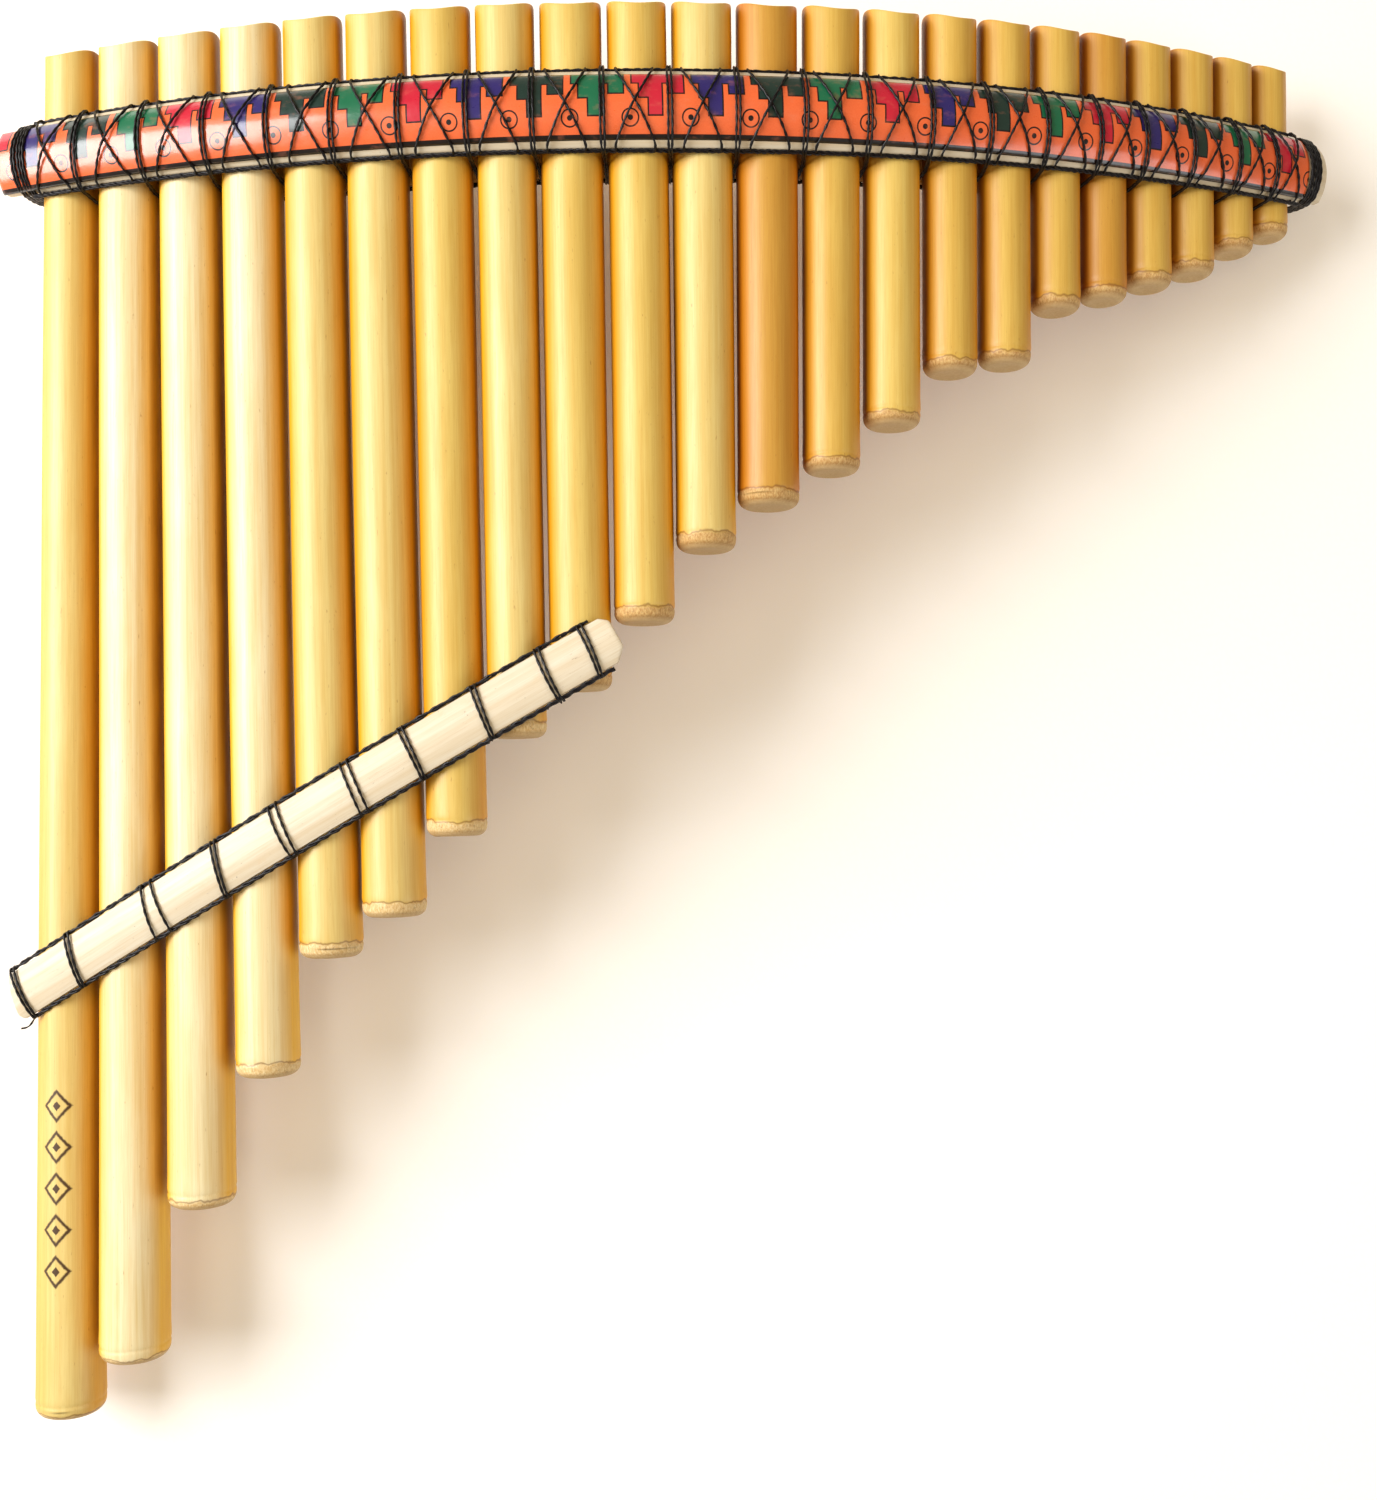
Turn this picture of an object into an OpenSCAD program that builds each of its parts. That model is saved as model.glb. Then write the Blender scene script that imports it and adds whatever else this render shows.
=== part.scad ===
// Pan flute: 22 closed cane pipes bound in a curve between pairs of split-cane slats.
// It lies on its hollow side. +Z is up, the pipes run along Y with their mouths at +Y,
// and the longest pipe is at -X. All lengths are in millimetres.

/* [Pipes] */
// Outside diameter at the mouth, longest pipe first
mouth_dia = [13.0, 14.2, 14.3, 14.0, 13.8, 14.1, 14.0, 13.7, 14.4, 13.9, 14.1,
    14.4, 13.6, 13.4, 13.0, 12.7, 12.1, 11.8, 12.0, 11.9, 11.2, 10.2]; // [9:0.1:18]
// Outside diameter at the foot
foot_dia = [15.7, 16.0, 15.3, 14.5, 14.4, 14.6, 13.8, 13.4, 14.1, 13.8, 13.8,
    14.3, 13.3, 13.4, 12.8, 12.5, 12.0, 11.6, 11.8, 11.7, 11.0, 10.1]; // [9:0.1:18]
// Length from foot to mouth
pipe_length = [327, 313, 277, 247, 220, 211, 193, 171, 160.5, 145.5, 129,
    119, 111, 100, 87, 84.5, 70.5, 67, 62.5, 58, 51, 45.5]; // [40:0.5:340]
// Sideways lean of the foot, in degrees, positive towards the short pipes
pipe_lean = [-0.9, -0.5, -0.1, 0.2, 0.3, 0.25, 0.15, -0.1, -0.3, -0.55, -0.9,
    -1.3, -1.6, -1.7, -1.8, -1.9, -2.0, -2.1, -2.2, -2.3, -2.4, -2.4]; // [-4:0.05:4]
// Clear gap to the next pipe at the mouths, where the thread passes through
pipe_gap = [1.8, 1.8, 1.8, 1.6, 1.4, 1.3, 1.3, 1.3, 1.2, 1.2, 1.2,
    1.4, 1.3, 1.4, 1.2, 1.2, 1.2, 1.2, 1.2, 1.3, 1.3]; // [0.9:0.1:3]
// Cane wall thickness at the mouth
wall = 1.4; // [1:0.1:2]
// Thickness of the natural node that closes the foot
foot_node = 4.5; // [3:0.5:8]
// Rounding of the foot edge
foot_round = 2.4; // [0.5:0.1:3.5]
// Rounding of the shoulders at the mouth
shoulder_round = 1.1; // [0.3:0.1:1.5]
// Depth of the lip saddle as a share of the mouth radius
saddle_depth = 0.5; // [0.2:0.05:0.6]

/* [Tuning] */
// Frequency of the longest pipe in hertz
lowest_note = 293.66; // [200:0.01:450]
// Semitones above the longest pipe, one value for each pipe
scale_steps = [0, 2, 4, 5, 7, 9, 10, 12, 14, 16, 17,
    19, 21, 22, 24, 26, 28, 29, 31, 33, 34, 36]; // [0:1:40]
// Speed of sound in metres per second
sound_speed = 343; // [330:1:350]
// Step in the bore: the cane is reamed wider above the tuning plug
ledge = 0.6; // [0.2:0.1:1]
// Radial clearance around a tuning plug
plug_clearance = 0.03; // [0.01:0.01:0.1]
// Drop from the ledge to the top of a tuning plug
plug_drop = 0.25; // [0.1:0.05:1]

/* [Curve] */
// Radius of the curve that the pipe fronts lie on
arc_radius = 420; // [300:5:600]
// Angle of the longest pipe from the top of the curve, in degrees
first_angle = -20.72; // [-30:0.05:-10]

/* [Head slats] */
// Distance from the mouths to the middle of the head slats
head_drop = 29; // [20:0.5:45]
// Width of the head slats
head_width = 17.8; // [12:0.1:24]
// Height of the crown of the head slats
head_crown = 4.6; // [2:0.1:6]
// Thickness of a head slat at its edges
head_edge = 0.9; // [0.5:0.1:2]
// Left end of the head slats, in degrees from the top of the curve
head_left_end = -22.57; // [-30:0.05:-15]
// Right end of the head slats
head_right_end = 23.2; // [15:0.05:30]
// Radius of the curve of the rear head slat
rear_radius = 437.1; // [350:0.1:500]
// Centre of that curve, sideways from the centre of the main curve
rear_centre_x = 4.6; // [-20:0.1:20]
// Centre of that curve, below the centre of the main curve
rear_centre_drop = 31.75; // [0:0.05:60]
// Width of the printed ribbon
ribbon_width = 15.2; // [8:0.1:18]
// Thickness of the printed ribbon
ribbon_thickness = 0.18; // [0.1:0.02:0.4]

/* [Lower brace] */
// Angle of the middle of the brace from the top of the curve
brace_angle = -12.49; // [-20:0.01:0]
// Distance from the mouths to the middle of the brace
brace_drop = 189; // [150:1:250]
// Slope of the brace in degrees
brace_slope = 28.6; // [15:0.1:40]
// Length of the brace
brace_length = 168; // [120:1:200]
// Width of the brace slats
brace_width = 11; // [8:0.5:16]
// Height of the crown of the brace slats
brace_crown = 2.3; // [1.5:0.1:4]
// Thickness of a brace slat at its edges
brace_edge = 1.1; // [0.8:0.1:2]
// Places of the cross wraps from the left end, and 1 for a single or 2 for a double wrap
brace_wraps = [[3.9, 2], [21.3, 2], [44, 1], [46.6, 1], [64.6, 2], [80.1, 1], [82, 1],
    [99.4, 1], [101.2, 1], [115.3, 2], [134.2, 2], [150.7, 2], [161.5, 2]]; // [1:0.1:165]
// Skew of the cross wraps in degrees
wrap_skew = 5; // [-20:1:20]
// Number of pipes under the brace
braced_pipes = 9; // [2:1:12]

/* [Thread] */
// Thickness of the waxed thread
thread = 0.74; // [0.4:0.02:1.2]
// Thickness of the cord along the slat edges
edge_cord = 0.7; // [0.4:0.05:1.2]
// Turns in the left end whipping
left_turns = 5; // [3:1:8]
// Turns in the right end whipping
right_turns = 5; // [3:1:8]

/* [View] */
// Piece to draw, or all

/* [Hidden] */
$fn = 96;
round_steps = 48;
sweep_steps = 1440;
pipe_count = len(mouth_dia);
last = pipe_count - 1;
slit = 0.05;
thread_r = thread / 2;
thread_pitch = thread + 0.06;
twin_r = 0.46;
head_dome = dome_radius(head_width, head_crown - head_edge);
brace_dome = dome_radius(brace_width, brace_crown - brace_edge);
pipe_angle = [for (i = [0:last]) first_angle + run_angle(i)];
foot_angle = [for (i = [0:last]) pipe_angle[i] + lean_angle(i)];
bore_radius = [for (i = [0:last]) mouth_dia[i] / 2 - wall];
wrap_side = head_width / 2 + 1.2;
wrap_end = 1.2;
head_cord_side = head_width / 2 + 0.4;
brace_side = brace_width / 2 + 0.6;
rear_skin = 15.55;
brace_cord_height = 0.85;
brace_arc = arc_radius / pow(cos(brace_slope), 2);
brace_rear_arc = (arc_radius - rear_skin) / pow(cos(brace_slope), 2);
// Moves the part so that the middle of its base is at the origin
shift_x = -1.59;
shift_y = 163.68;
shift_z = 49.48;

// Radius of the arc with the given chord and rise
function dome_radius(chord, rise) = (chord * chord / 4 + rise * rise) / (2 * rise);

// Angle from the first pipe to pipe i, going round the curve
function run_angle(i) = i == 0 ? 0 : run_angle(i - 1) + step_angle(i - 1);
function step_angle(i) = arc_angle(
    (mouth_dia[i] + mouth_dia[i + 1]) / 2 + pipe_gap[i],
    arc_radius - (mouth_dia[i] + mouth_dia[i + 1]) / 4);
function arc_angle(run, radius) = run / radius * 180 / PI;
function lean_angle(i) = arc_angle(tan(pipe_lean[i]) * pipe_length[i], arc_radius - 7);

// Radius and angle of pipe i at a distance from its mouth
function radius_at(i, drop) =
    (mouth_dia[i] + (foot_dia[i] - mouth_dia[i]) * drop / pipe_length[i]) / 2;
function angle_at(i, drop) = pipe_angle[i] + lean_angle(i) * drop / pipe_length[i];
// Angle of the middle of the gap after pipe i
function gap_angle(i, drop) =
    (angle_at(i, drop) + arc_angle(radius_at(i, drop), arc_radius - 7)
    + angle_at(i + 1, drop) - arc_angle(radius_at(i + 1, drop), arc_radius - 7)) / 2;

// Bore depth that sounds the note of pipe i, less the end correction of the mouth
function bore_depth(i) =
    sound_speed * 1000 / (4 * lowest_note * pow(2, scale_steps[i] / 12))
    - 0.6 * bore_radius[i];

// Height of the bore's floor above the foot, where the tuning plug ends
function plug_top(i) =
    pipe_length[i] - saddle_depth * mouth_dia[i] / 2 - bore_depth(i);

// Distance from the centre of the main curve to the rear slat, at an angle
function rear_reach(angle) =
    let (along = rear_centre_x * sin(angle) - rear_centre_drop * cos(angle))
    along + sqrt(along * along + rear_radius * rear_radius
    - rear_centre_x * rear_centre_x - rear_centre_drop * rear_centre_drop);

// Points of a rounded corner in a profile
function corner(x, y, r, from, to) =
    [for (k = [0:4]) [x + r * cos(from + (to - from) * k / 4),
        y + r * sin(from + (to - from) * k / 4)]];

// Puts a piece on the front curve: X goes round the curve, Y to the mouths, Z out
module on_arc(angle, drop, height = 0) {
    translate([shift_x, shift_y - drop, shift_z - arc_radius])
        rotate([0, angle, 0])
            translate([0, 0, arc_radius + height])
                children();
}

// Sweeps a profile round the Y axis between two angles from +Z
module sweep(from, to) {
    rotate([-90, 0, 0])
        rotate([0, 0, from - 90])
            rotate_extrude(angle = to - from, $fn = sweep_steps)
                children();
}

// Arc of thread over a dome, in the plane across a slat
module thread_arc(half_span, top, end, r) {
    bend = dome_radius(2 * half_span, top - end);
    reach = asin(half_span / bend);
    translate([0, 0, top - bend])
        rotate([0, 90, 0])
            rotate([0, 0, 180 - reach])
                rotate_extrude(angle = 2 * reach)
                    translate([bend, 0])
                        circle(r = r, $fn = round_steps);
}

// Straight run of thread along Z
module thread_run(side, from, to, r) {
    translate([0, side, from])
        cylinder(r = r, h = to - from);
}

module knot(side, height, r) {
    translate([0, side, height])
        sphere(r = r);
}

// Domed profile with its flat face at a radius. The crown points out (1) or in (-1),
// and "under" adds thickness below the flat face.
module domed_profile(flat_at, width, crown, dome, out, under = 0) {
    intersection() {
        translate([flat_at + out * (crown - dome), 0])
            circle(r = dome, $fn = 240);
        translate([out > 0 ? flat_at - under : flat_at - crown, -width / 2])
            square([crown + under, width]);
    }
}

// Frame of pipe i: Z runs along the pipe from the foot to the mouth, -Y faces out
module on_pipe(i) {
    mouth_r = mouth_dia[i] / 2;
    foot_r = foot_dia[i] / 2;
    turn = lean_angle(i);
    side = (arc_radius - foot_r) * sin(turn);
    lift = (arc_radius - foot_r) * cos(turn) - arc_radius + mouth_r;
    on_arc(pipe_angle[i], 0)
        translate([side, -pipe_length[i], lift - mouth_r])
            rotate([0, 0, atan2(side, pipe_length[i])])
                rotate([-90 + atan2(-lift, pipe_length[i]), 0, 0])
                    children();
}

// Cane pipe: closed foot, round bore, and a mouth cut to a saddle for the lip
module cane_pipe(i) {
    mouth_r = mouth_dia[i] / 2;
    foot_r = foot_dia[i] / 2;
    long = pipe_length[i];
    saddle_r = mouth_r * (1 + saddle_depth * saddle_depth) / (2 * saddle_depth);
    color([0.9, 0.73, 0.4])
        on_pipe(i)
            difference() {
                rotate_extrude()
                    polygon(concat(
                        [[0, 0]],
                        corner(foot_r - foot_round, foot_round, foot_round, -90, 0),
                        corner(mouth_r - shoulder_round, long - shoulder_round,
                            shoulder_round, 0, 90),
                        [[0, long]]));
                translate([0, 0, plug_top(i)])
                    cylinder(r = bore_radius[i], h = long);
                translate([0, 0, foot_node])
                    cylinder(r = bore_radius[i] - ledge, h = long / 2);
                translate([0, 0, long + saddle_r - saddle_depth * mouth_r])
                    rotate([90, 0, 0])
                        cylinder(r = saddle_r, h = 4 * mouth_r, center = true);
            }
}

// Plug of wax and cork that sets the sounding depth of pipe i
module tuning_plug(i) {
    color([0.72, 0.52, 0.3])
        on_pipe(i)
            translate([0, 0, foot_node + slit])
                cylinder(r = bore_radius[i] - ledge - plug_clearance,
                    h = plug_top(i) - foot_node - slit - plug_drop);
}

// One module for each pipe and for each tuning plug
module pipe_01() { cane_pipe(0); }
module pipe_02() { cane_pipe(1); }
module pipe_03() { cane_pipe(2); }
module pipe_04() { cane_pipe(3); }
module pipe_05() { cane_pipe(4); }
module pipe_06() { cane_pipe(5); }
module pipe_07() { cane_pipe(6); }
module pipe_08() { cane_pipe(7); }
module pipe_09() { cane_pipe(8); }
module pipe_10() { cane_pipe(9); }
module pipe_11() { cane_pipe(10); }
module pipe_12() { cane_pipe(11); }
module pipe_13() { cane_pipe(12); }
module pipe_14() { cane_pipe(13); }
module pipe_15() { cane_pipe(14); }
module pipe_16() { cane_pipe(15); }
module pipe_17() { cane_pipe(16); }
module pipe_18() { cane_pipe(17); }
module pipe_19() { cane_pipe(18); }
module pipe_20() { cane_pipe(19); }
module pipe_21() { cane_pipe(20); }
module pipe_22() { cane_pipe(21); }

module plug_01() { tuning_plug(0); }
module plug_02() { tuning_plug(1); }
module plug_03() { tuning_plug(2); }
module plug_04() { tuning_plug(3); }
module plug_05() { tuning_plug(4); }
module plug_06() { tuning_plug(5); }
module plug_07() { tuning_plug(6); }
module plug_08() { tuning_plug(7); }
module plug_09() { tuning_plug(8); }
module plug_10() { tuning_plug(9); }
module plug_11() { tuning_plug(10); }
module plug_12() { tuning_plug(11); }
module plug_13() { tuning_plug(12); }
module plug_14() { tuning_plug(13); }
module plug_15() { tuning_plug(14); }
module plug_16() { tuning_plug(15); }
module plug_17() { tuning_plug(16); }
module plug_18() { tuning_plug(17); }
module plug_19() { tuning_plug(18); }
module plug_20() { tuning_plug(19); }
module plug_21() { tuning_plug(20); }
module plug_22() { tuning_plug(21); }

// Head slats and ribbon

module front_head_slat() {
    color([0.95, 0.89, 0.7])
        on_arc(0, head_drop, -arc_radius)
            sweep(head_left_end, head_right_end)
                domed_profile(arc_radius + slit, head_width, head_crown, head_dome, 1);
}

module rear_head_slat() {
    color([0.93, 0.86, 0.64])
        on_arc(0, head_drop, -arc_radius)
            translate([rear_centre_x, 0, -rear_centre_drop])
                sweep(rear_turn(head_left_end), rear_turn(head_right_end))
                    domed_profile(rear_radius, head_width, head_crown, head_dome, -1);
}

// Angle about the rear curve's own centre of the point at an angle on the main curve
function rear_turn(angle) =
    asin((rear_reach(angle) * sin(angle) - rear_centre_x) / rear_radius);

module printed_ribbon() {
    color([0.9, 0.45, 0.28])
        on_arc(0, head_drop, -arc_radius)
            sweep(head_left_end + 0.02, head_right_end - 0.9)
                intersection() {
                    translate([arc_radius + slit + head_crown - head_dome, 0])
                        difference() {
                            circle(r = head_dome + 0.02 + ribbon_thickness, $fn = 240);
                            circle(r = head_dome + 0.02, $fn = 240);
                        }
                    translate([arc_radius, -ribbon_width / 2])
                        square([head_crown * 2, ribbon_width]);
                }
}

// Head lashing

// Two turns round both slats, drawn together to pass between two pipes
module head_wrap(angle) {
    back = rear_reach(angle) - arc_radius;
    top = head_crown + ribbon_thickness + thread_r + 0.1;
    on_arc(angle, head_drop)
        union() {
            for (side = [-1, 1]) {
                translate([side * thread_pitch / 2, 0, 0]) {
                    thread_arc(wrap_side, top, wrap_end, thread_r);
                    translate([0, 0, back])
                        mirror([0, 0, 1])
                            thread_arc(wrap_side, top, wrap_end, thread_r);
                }
                thread_run(side * wrap_side, back - wrap_end - 0.35, wrap_end + 0.35, twin_r);
            }
        }
}

module head_wraps() {
    color([0.1, 0.1, 0.11])
        for (i = [0:last - 1]) {
            head_wrap(gap_angle(i, head_drop));
        }
}

// Two crossed strands over the front slat in front of pipe i
module head_cross(i) {
    cell = (mouth_dia[i] + pipe_gap[min(i, last - 1)]) / 14.8;
    half = head_width / 2 - 0.2;
    lean = atan2(4.25 * cell, half);
    span = sqrt(half * half + pow(4.25 * cell, 2));
    top = head_crown + ribbon_thickness + thread_r + 0.1;
    on_arc(angle_at(i, head_drop), head_drop)
        translate([-0.8 * cell, 0, 0]) {
            rotate([0, 0, lean])
                thread_arc(span, top + 0.15, 2.0, thread_r);
            rotate([0, 0, -lean])
                thread_arc(span, top + 0.6, 2.1, thread_r);
        }
}

module head_cross_lacing() {
    color([0.1, 0.1, 0.11])
        for (i = [0:last]) {
            head_cross(i);
        }
}

// Cords along both edges of both head slats
module head_edge_cords() {
    color([0.12, 0.12, 0.13])
        on_arc(0, head_drop, -arc_radius)
            for (edge = [-1, 1]) {
                sweep(pipe_angle[0] - 0.8, pipe_angle[last] + 0.5)
                    translate([arc_radius + 0.5, edge * head_cord_side])
                        circle(r = edge_cord / 2, $fn = round_steps);
                translate([rear_centre_x, 0, -rear_centre_drop])
                    sweep(rear_turn(pipe_angle[0] - 0.8), rear_turn(pipe_angle[last] + 0.5))
                        translate([rear_radius - 0.5, edge * head_cord_side])
                            circle(r = edge_cord / 2, $fn = round_steps);
            }
}

// One turn of thread round both slats, past the ends of the row of pipes
module whipping_turn(angle) {
    back = rear_reach(angle) - arc_radius;
    top = head_crown + ribbon_thickness + thread_r + 0.1;
    side = head_width / 2 + 0.5;
    on_arc(angle, head_drop)
        union() {
            thread_arc(side, top, 0.9, thread_r);
            translate([0, 0, back])
                mirror([0, 0, 1])
                    thread_arc(side, top, 0.9, thread_r);
            for (edge = [-1, 1]) {
                thread_run(edge * side, back - 0.9, 0.9, thread_r);
                knot(edge * side, 0.9, thread_r + 0.02);
                knot(edge * side, back - 0.9, thread_r + 0.02);
            }
        }
}

module left_whipping() {
    start = pipe_angle[0] - arc_angle(mouth_dia[0] / 2 + 0.55, arc_radius - 7);
    color([0.1, 0.1, 0.11])
        for (k = [0:left_turns - 1]) {
            whipping_turn(start - arc_angle(k * thread_pitch, arc_radius - 14));
        }
}

module right_whipping() {
    start = pipe_angle[last] + arc_angle(mouth_dia[last] / 2 + 0.55, arc_radius - 7);
    color([0.1, 0.1, 0.11])
        for (k = [0:right_turns - 1]) {
            whipping_turn(start + arc_angle(k * thread_pitch, arc_radius - 14));
        }
}

// Lower brace

// Frame of the brace at its middle: X runs along it, Z out
module on_brace() {
    on_arc(brace_angle, brace_drop)
        rotate([0, 0, brace_slope])
            children();
}

// Sweeps a profile along the brace, round a centre that lies below its surface
module brace_sweep(skin, radius, from, to) {
    on_brace()
        translate([0, 0, -skin - radius])
            sweep(arc_angle(from - brace_length / 2, brace_arc),
                arc_angle(to - brace_length / 2, brace_arc))
                children();
}

// Frame at a distance from the left end of the brace
module along_brace(place, skin, radius) {
    on_brace()
        translate([0, 0, -skin - radius])
            rotate([0, arc_angle(place - brace_length / 2, brace_arc), 0])
                translate([0, 0, radius])
                    children();
}

// Round body that the pipe fronts or backs lie on
module pipe_envelope(radius) {
    on_arc(0, 260, -arc_radius)
        rotate([-90, 0, 0])
            cylinder(r = radius, h = 200, $fn = 1440);
}

module front_brace_slat() {
    color([0.95, 0.89, 0.7])
        difference() {
            brace_sweep(0, brace_arc, 0, brace_length)
                domed_profile(brace_arc, brace_width, brace_crown, brace_dome, 1, 1);
            pipe_envelope(arc_radius + slit);
        }
}

module rear_brace_slat() {
    color([0.93, 0.86, 0.64])
        intersection() {
            brace_sweep(rear_skin, brace_rear_arc, 0, brace_length)
                domed_profile(brace_rear_arc, brace_width, brace_crown, brace_dome, -1, 1);
            pipe_envelope(arc_radius - rear_skin - slit);
        }
}

// Cords along both edges of both brace slats, tied together between the pipes
module brace_edge_lashing() {
    color([0.12, 0.12, 0.13])
        for (edge = [-1, 1]) {
            brace_sweep(0, brace_arc, 3, brace_length - 4)
                translate([brace_arc + brace_cord_height, edge * brace_side])
                    circle(r = edge_cord / 2, $fn = round_steps);
            brace_sweep(rear_skin, brace_rear_arc, 3, brace_length - 4)
                translate([brace_rear_arc - brace_cord_height, edge * brace_side])
                    circle(r = edge_cord / 2, $fn = round_steps);
            for (i = [0:braced_pipes - 2]) {
                brace_tie(i, edge);
            }
        }
}

// Run of thread from the front cord to the rear cord through the gap after pipe i
module brace_tie(i, edge) {
    front = tie_end(i, edge, 0, brace_cord_height);
    rear = tie_end(i, edge, rear_skin, -brace_cord_height);
    on_brace()
        translate([rear[0], edge * brace_side, rear[1]])
            rotate([0, atan2(front[0] - rear[0], front[1] - rear[1]), 0])
                translate([0, 0, edge_cord / 2 + slit])
                    cylinder(r = 0.3, h = norm(front - rear) - edge_cord - 2 * slit);
}

// End of that run in the frame of the brace, at a depth below the pipe fronts
function tie_end(i, edge, skin, height) =
    let (radius = (arc_radius - skin) / pow(cos(brace_slope), 2),
        turn = arc_angle(tie_place(i, edge, arc_radius - skin), radius))
    [(radius + height) * sin(turn), (radius + height) * cos(turn) - radius - skin];

// Its distance along the brace from the middle
function tie_place(i, edge, radius) =
    let (drop = brace_drop_at(gap_angle(i, brace_drop))
            - edge * brace_side / cos(brace_slope))
    ((gap_angle(i, drop) - brace_angle) * PI / 180 * radius
    + edge * brace_side * sin(brace_slope)) / cos(brace_slope);

// Distance from the mouths to the middle of the brace, at an angle
function brace_drop_at(angle) =
    brace_drop - (angle - brace_angle) * PI / 180 * arc_radius * tan(brace_slope);

module brace_cross_wraps() {
    color([0.1, 0.1, 0.11])
        for (wrap = brace_wraps) {
            for (turn = [1:wrap[1]]) {
                place = wrap[0] + (turn - (wrap[1] + 1) / 2) * thread_pitch;
                along_brace(place, 0, brace_arc)
                    brace_cross();
                along_brace(place, rear_skin, brace_rear_arc)
                    mirror([0, 0, 1])
                        brace_cross();
            }
        }
}

module brace_cross() {
    rotate([0, 0, wrap_skew])
        thread_arc(brace_side + 0.4, brace_crown + thread_r + 0.13, 1.5, thread_r);
}

pipe_01();
pipe_02();
pipe_03();
pipe_04();
pipe_05();
pipe_06();
pipe_07();
pipe_08();
pipe_09();
pipe_10();
pipe_11();
pipe_12();
pipe_13();
pipe_14();
pipe_15();
pipe_16();
pipe_17();
pipe_18();
pipe_19();
pipe_20();
pipe_21();
pipe_22();
plug_01();
plug_02();
plug_03();
plug_04();
plug_05();
plug_06();
plug_07();
plug_08();
plug_09();
plug_10();
plug_11();
plug_12();
plug_13();
plug_14();
plug_15();
plug_16();
plug_17();
plug_18();
plug_19();
plug_20();
plug_21();
plug_22();
front_head_slat();
rear_head_slat();
printed_ribbon();
head_wraps();
head_cross_lacing();
head_edge_cords();
left_whipping();
right_whipping();
front_brace_slat();
rear_brace_slat();
brace_edge_lashing();
brace_cross_wraps();
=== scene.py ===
"""Looks for the pan flute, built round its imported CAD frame.

Tables and local geometry are in millimetres, and MM turns them into Blender's metres.
+Z is up out of the bulging front, +Y runs towards the mouths, +X towards the short pipes.
"""

import math

import bpy
import numpy as np
from mathutils import Matrix, Vector


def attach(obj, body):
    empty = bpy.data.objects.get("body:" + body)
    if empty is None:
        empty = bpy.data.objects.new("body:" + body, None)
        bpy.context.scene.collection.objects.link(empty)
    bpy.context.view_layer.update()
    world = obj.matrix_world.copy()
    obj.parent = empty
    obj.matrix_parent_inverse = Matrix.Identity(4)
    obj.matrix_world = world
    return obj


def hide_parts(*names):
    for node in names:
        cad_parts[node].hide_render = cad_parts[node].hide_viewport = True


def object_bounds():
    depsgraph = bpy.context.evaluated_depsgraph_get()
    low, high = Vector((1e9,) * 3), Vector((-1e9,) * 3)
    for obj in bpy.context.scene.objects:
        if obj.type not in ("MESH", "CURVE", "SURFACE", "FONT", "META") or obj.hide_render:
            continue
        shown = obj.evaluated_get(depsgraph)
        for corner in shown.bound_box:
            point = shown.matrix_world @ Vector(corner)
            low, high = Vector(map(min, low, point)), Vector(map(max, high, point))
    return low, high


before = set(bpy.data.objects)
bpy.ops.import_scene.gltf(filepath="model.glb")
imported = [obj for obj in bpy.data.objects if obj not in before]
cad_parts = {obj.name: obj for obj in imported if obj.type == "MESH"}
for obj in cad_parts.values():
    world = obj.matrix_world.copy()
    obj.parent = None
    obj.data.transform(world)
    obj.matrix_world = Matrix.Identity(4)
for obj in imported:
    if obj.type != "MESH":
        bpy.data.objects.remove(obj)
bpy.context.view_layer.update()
MM = 0.001

# ---- dimensions

MOUTH_DIA = [13.0, 14.2, 14.3, 14.0, 13.8, 14.1, 14.0, 13.7, 14.4, 13.9, 14.1,
             14.4, 13.6, 13.4, 13.0, 12.7, 12.1, 11.8, 12.0, 11.9, 11.2, 10.2]
FOOT_DIA = [15.7, 16.0, 15.3, 14.5, 14.4, 14.6, 13.8, 13.4, 14.1, 13.8, 13.8,
            14.3, 13.3, 13.4, 12.8, 12.5, 12.0, 11.6, 11.8, 11.7, 11.0, 10.1]
PIPE_LENGTH = [327, 313, 277, 247, 220, 211, 193, 171, 160.5, 145.5, 129,
               119, 111, 100, 87, 84.5, 70.5, 67, 62.5, 58, 51, 45.5]
PIPE_LEAN = [-0.9, -0.5, -0.1, 0.2, 0.3, 0.25, 0.15, -0.1, -0.3, -0.55, -0.9,
             -1.3, -1.6, -1.7, -1.8, -1.9, -2.0, -2.1, -2.2, -2.3, -2.4, -2.4]
PIPE_GAP = [1.8, 1.8, 1.8, 1.6, 1.4, 1.3, 1.3, 1.3, 1.2, 1.2, 1.2,
            1.4, 1.3, 1.4, 1.2, 1.2, 1.2, 1.2, 1.2, 1.3, 1.3]
SCALE_STEPS = [0, 2, 4, 5, 7, 9, 10, 12, 14, 16, 17,
               19, 21, 22, 24, 26, 28, 29, 31, 33, 34, 36]
PIPES = len(MOUTH_DIA)
WALL = 1.4
FOOT_NODE = 4.5
FOOT_ROUND = 2.4
SADDLE = 0.5
LEDGE = 0.6
LOWEST_NOTE = 293.66
SOUND_SPEED = 343.0

ARC = 420.0
PIPE_AXIS = 7.0  # how far the pipes' axes lie inside the front curve, near enough
BAND_MIDDLE = 14.0  # depth inside the curve where the turns of a whipping are evenly spaced
FIRST_ANGLE = -20.72
SHIFT = (-1.59, 163.68, 49.48)

HEAD_DROP = 29.0
HEAD_SECTION = HEAD_WIDTH, HEAD_CROWN, HEAD_EDGE = 17.8, 4.6, 0.9
HEAD_LEFT, HEAD_RIGHT = -22.57, 23.2
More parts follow.
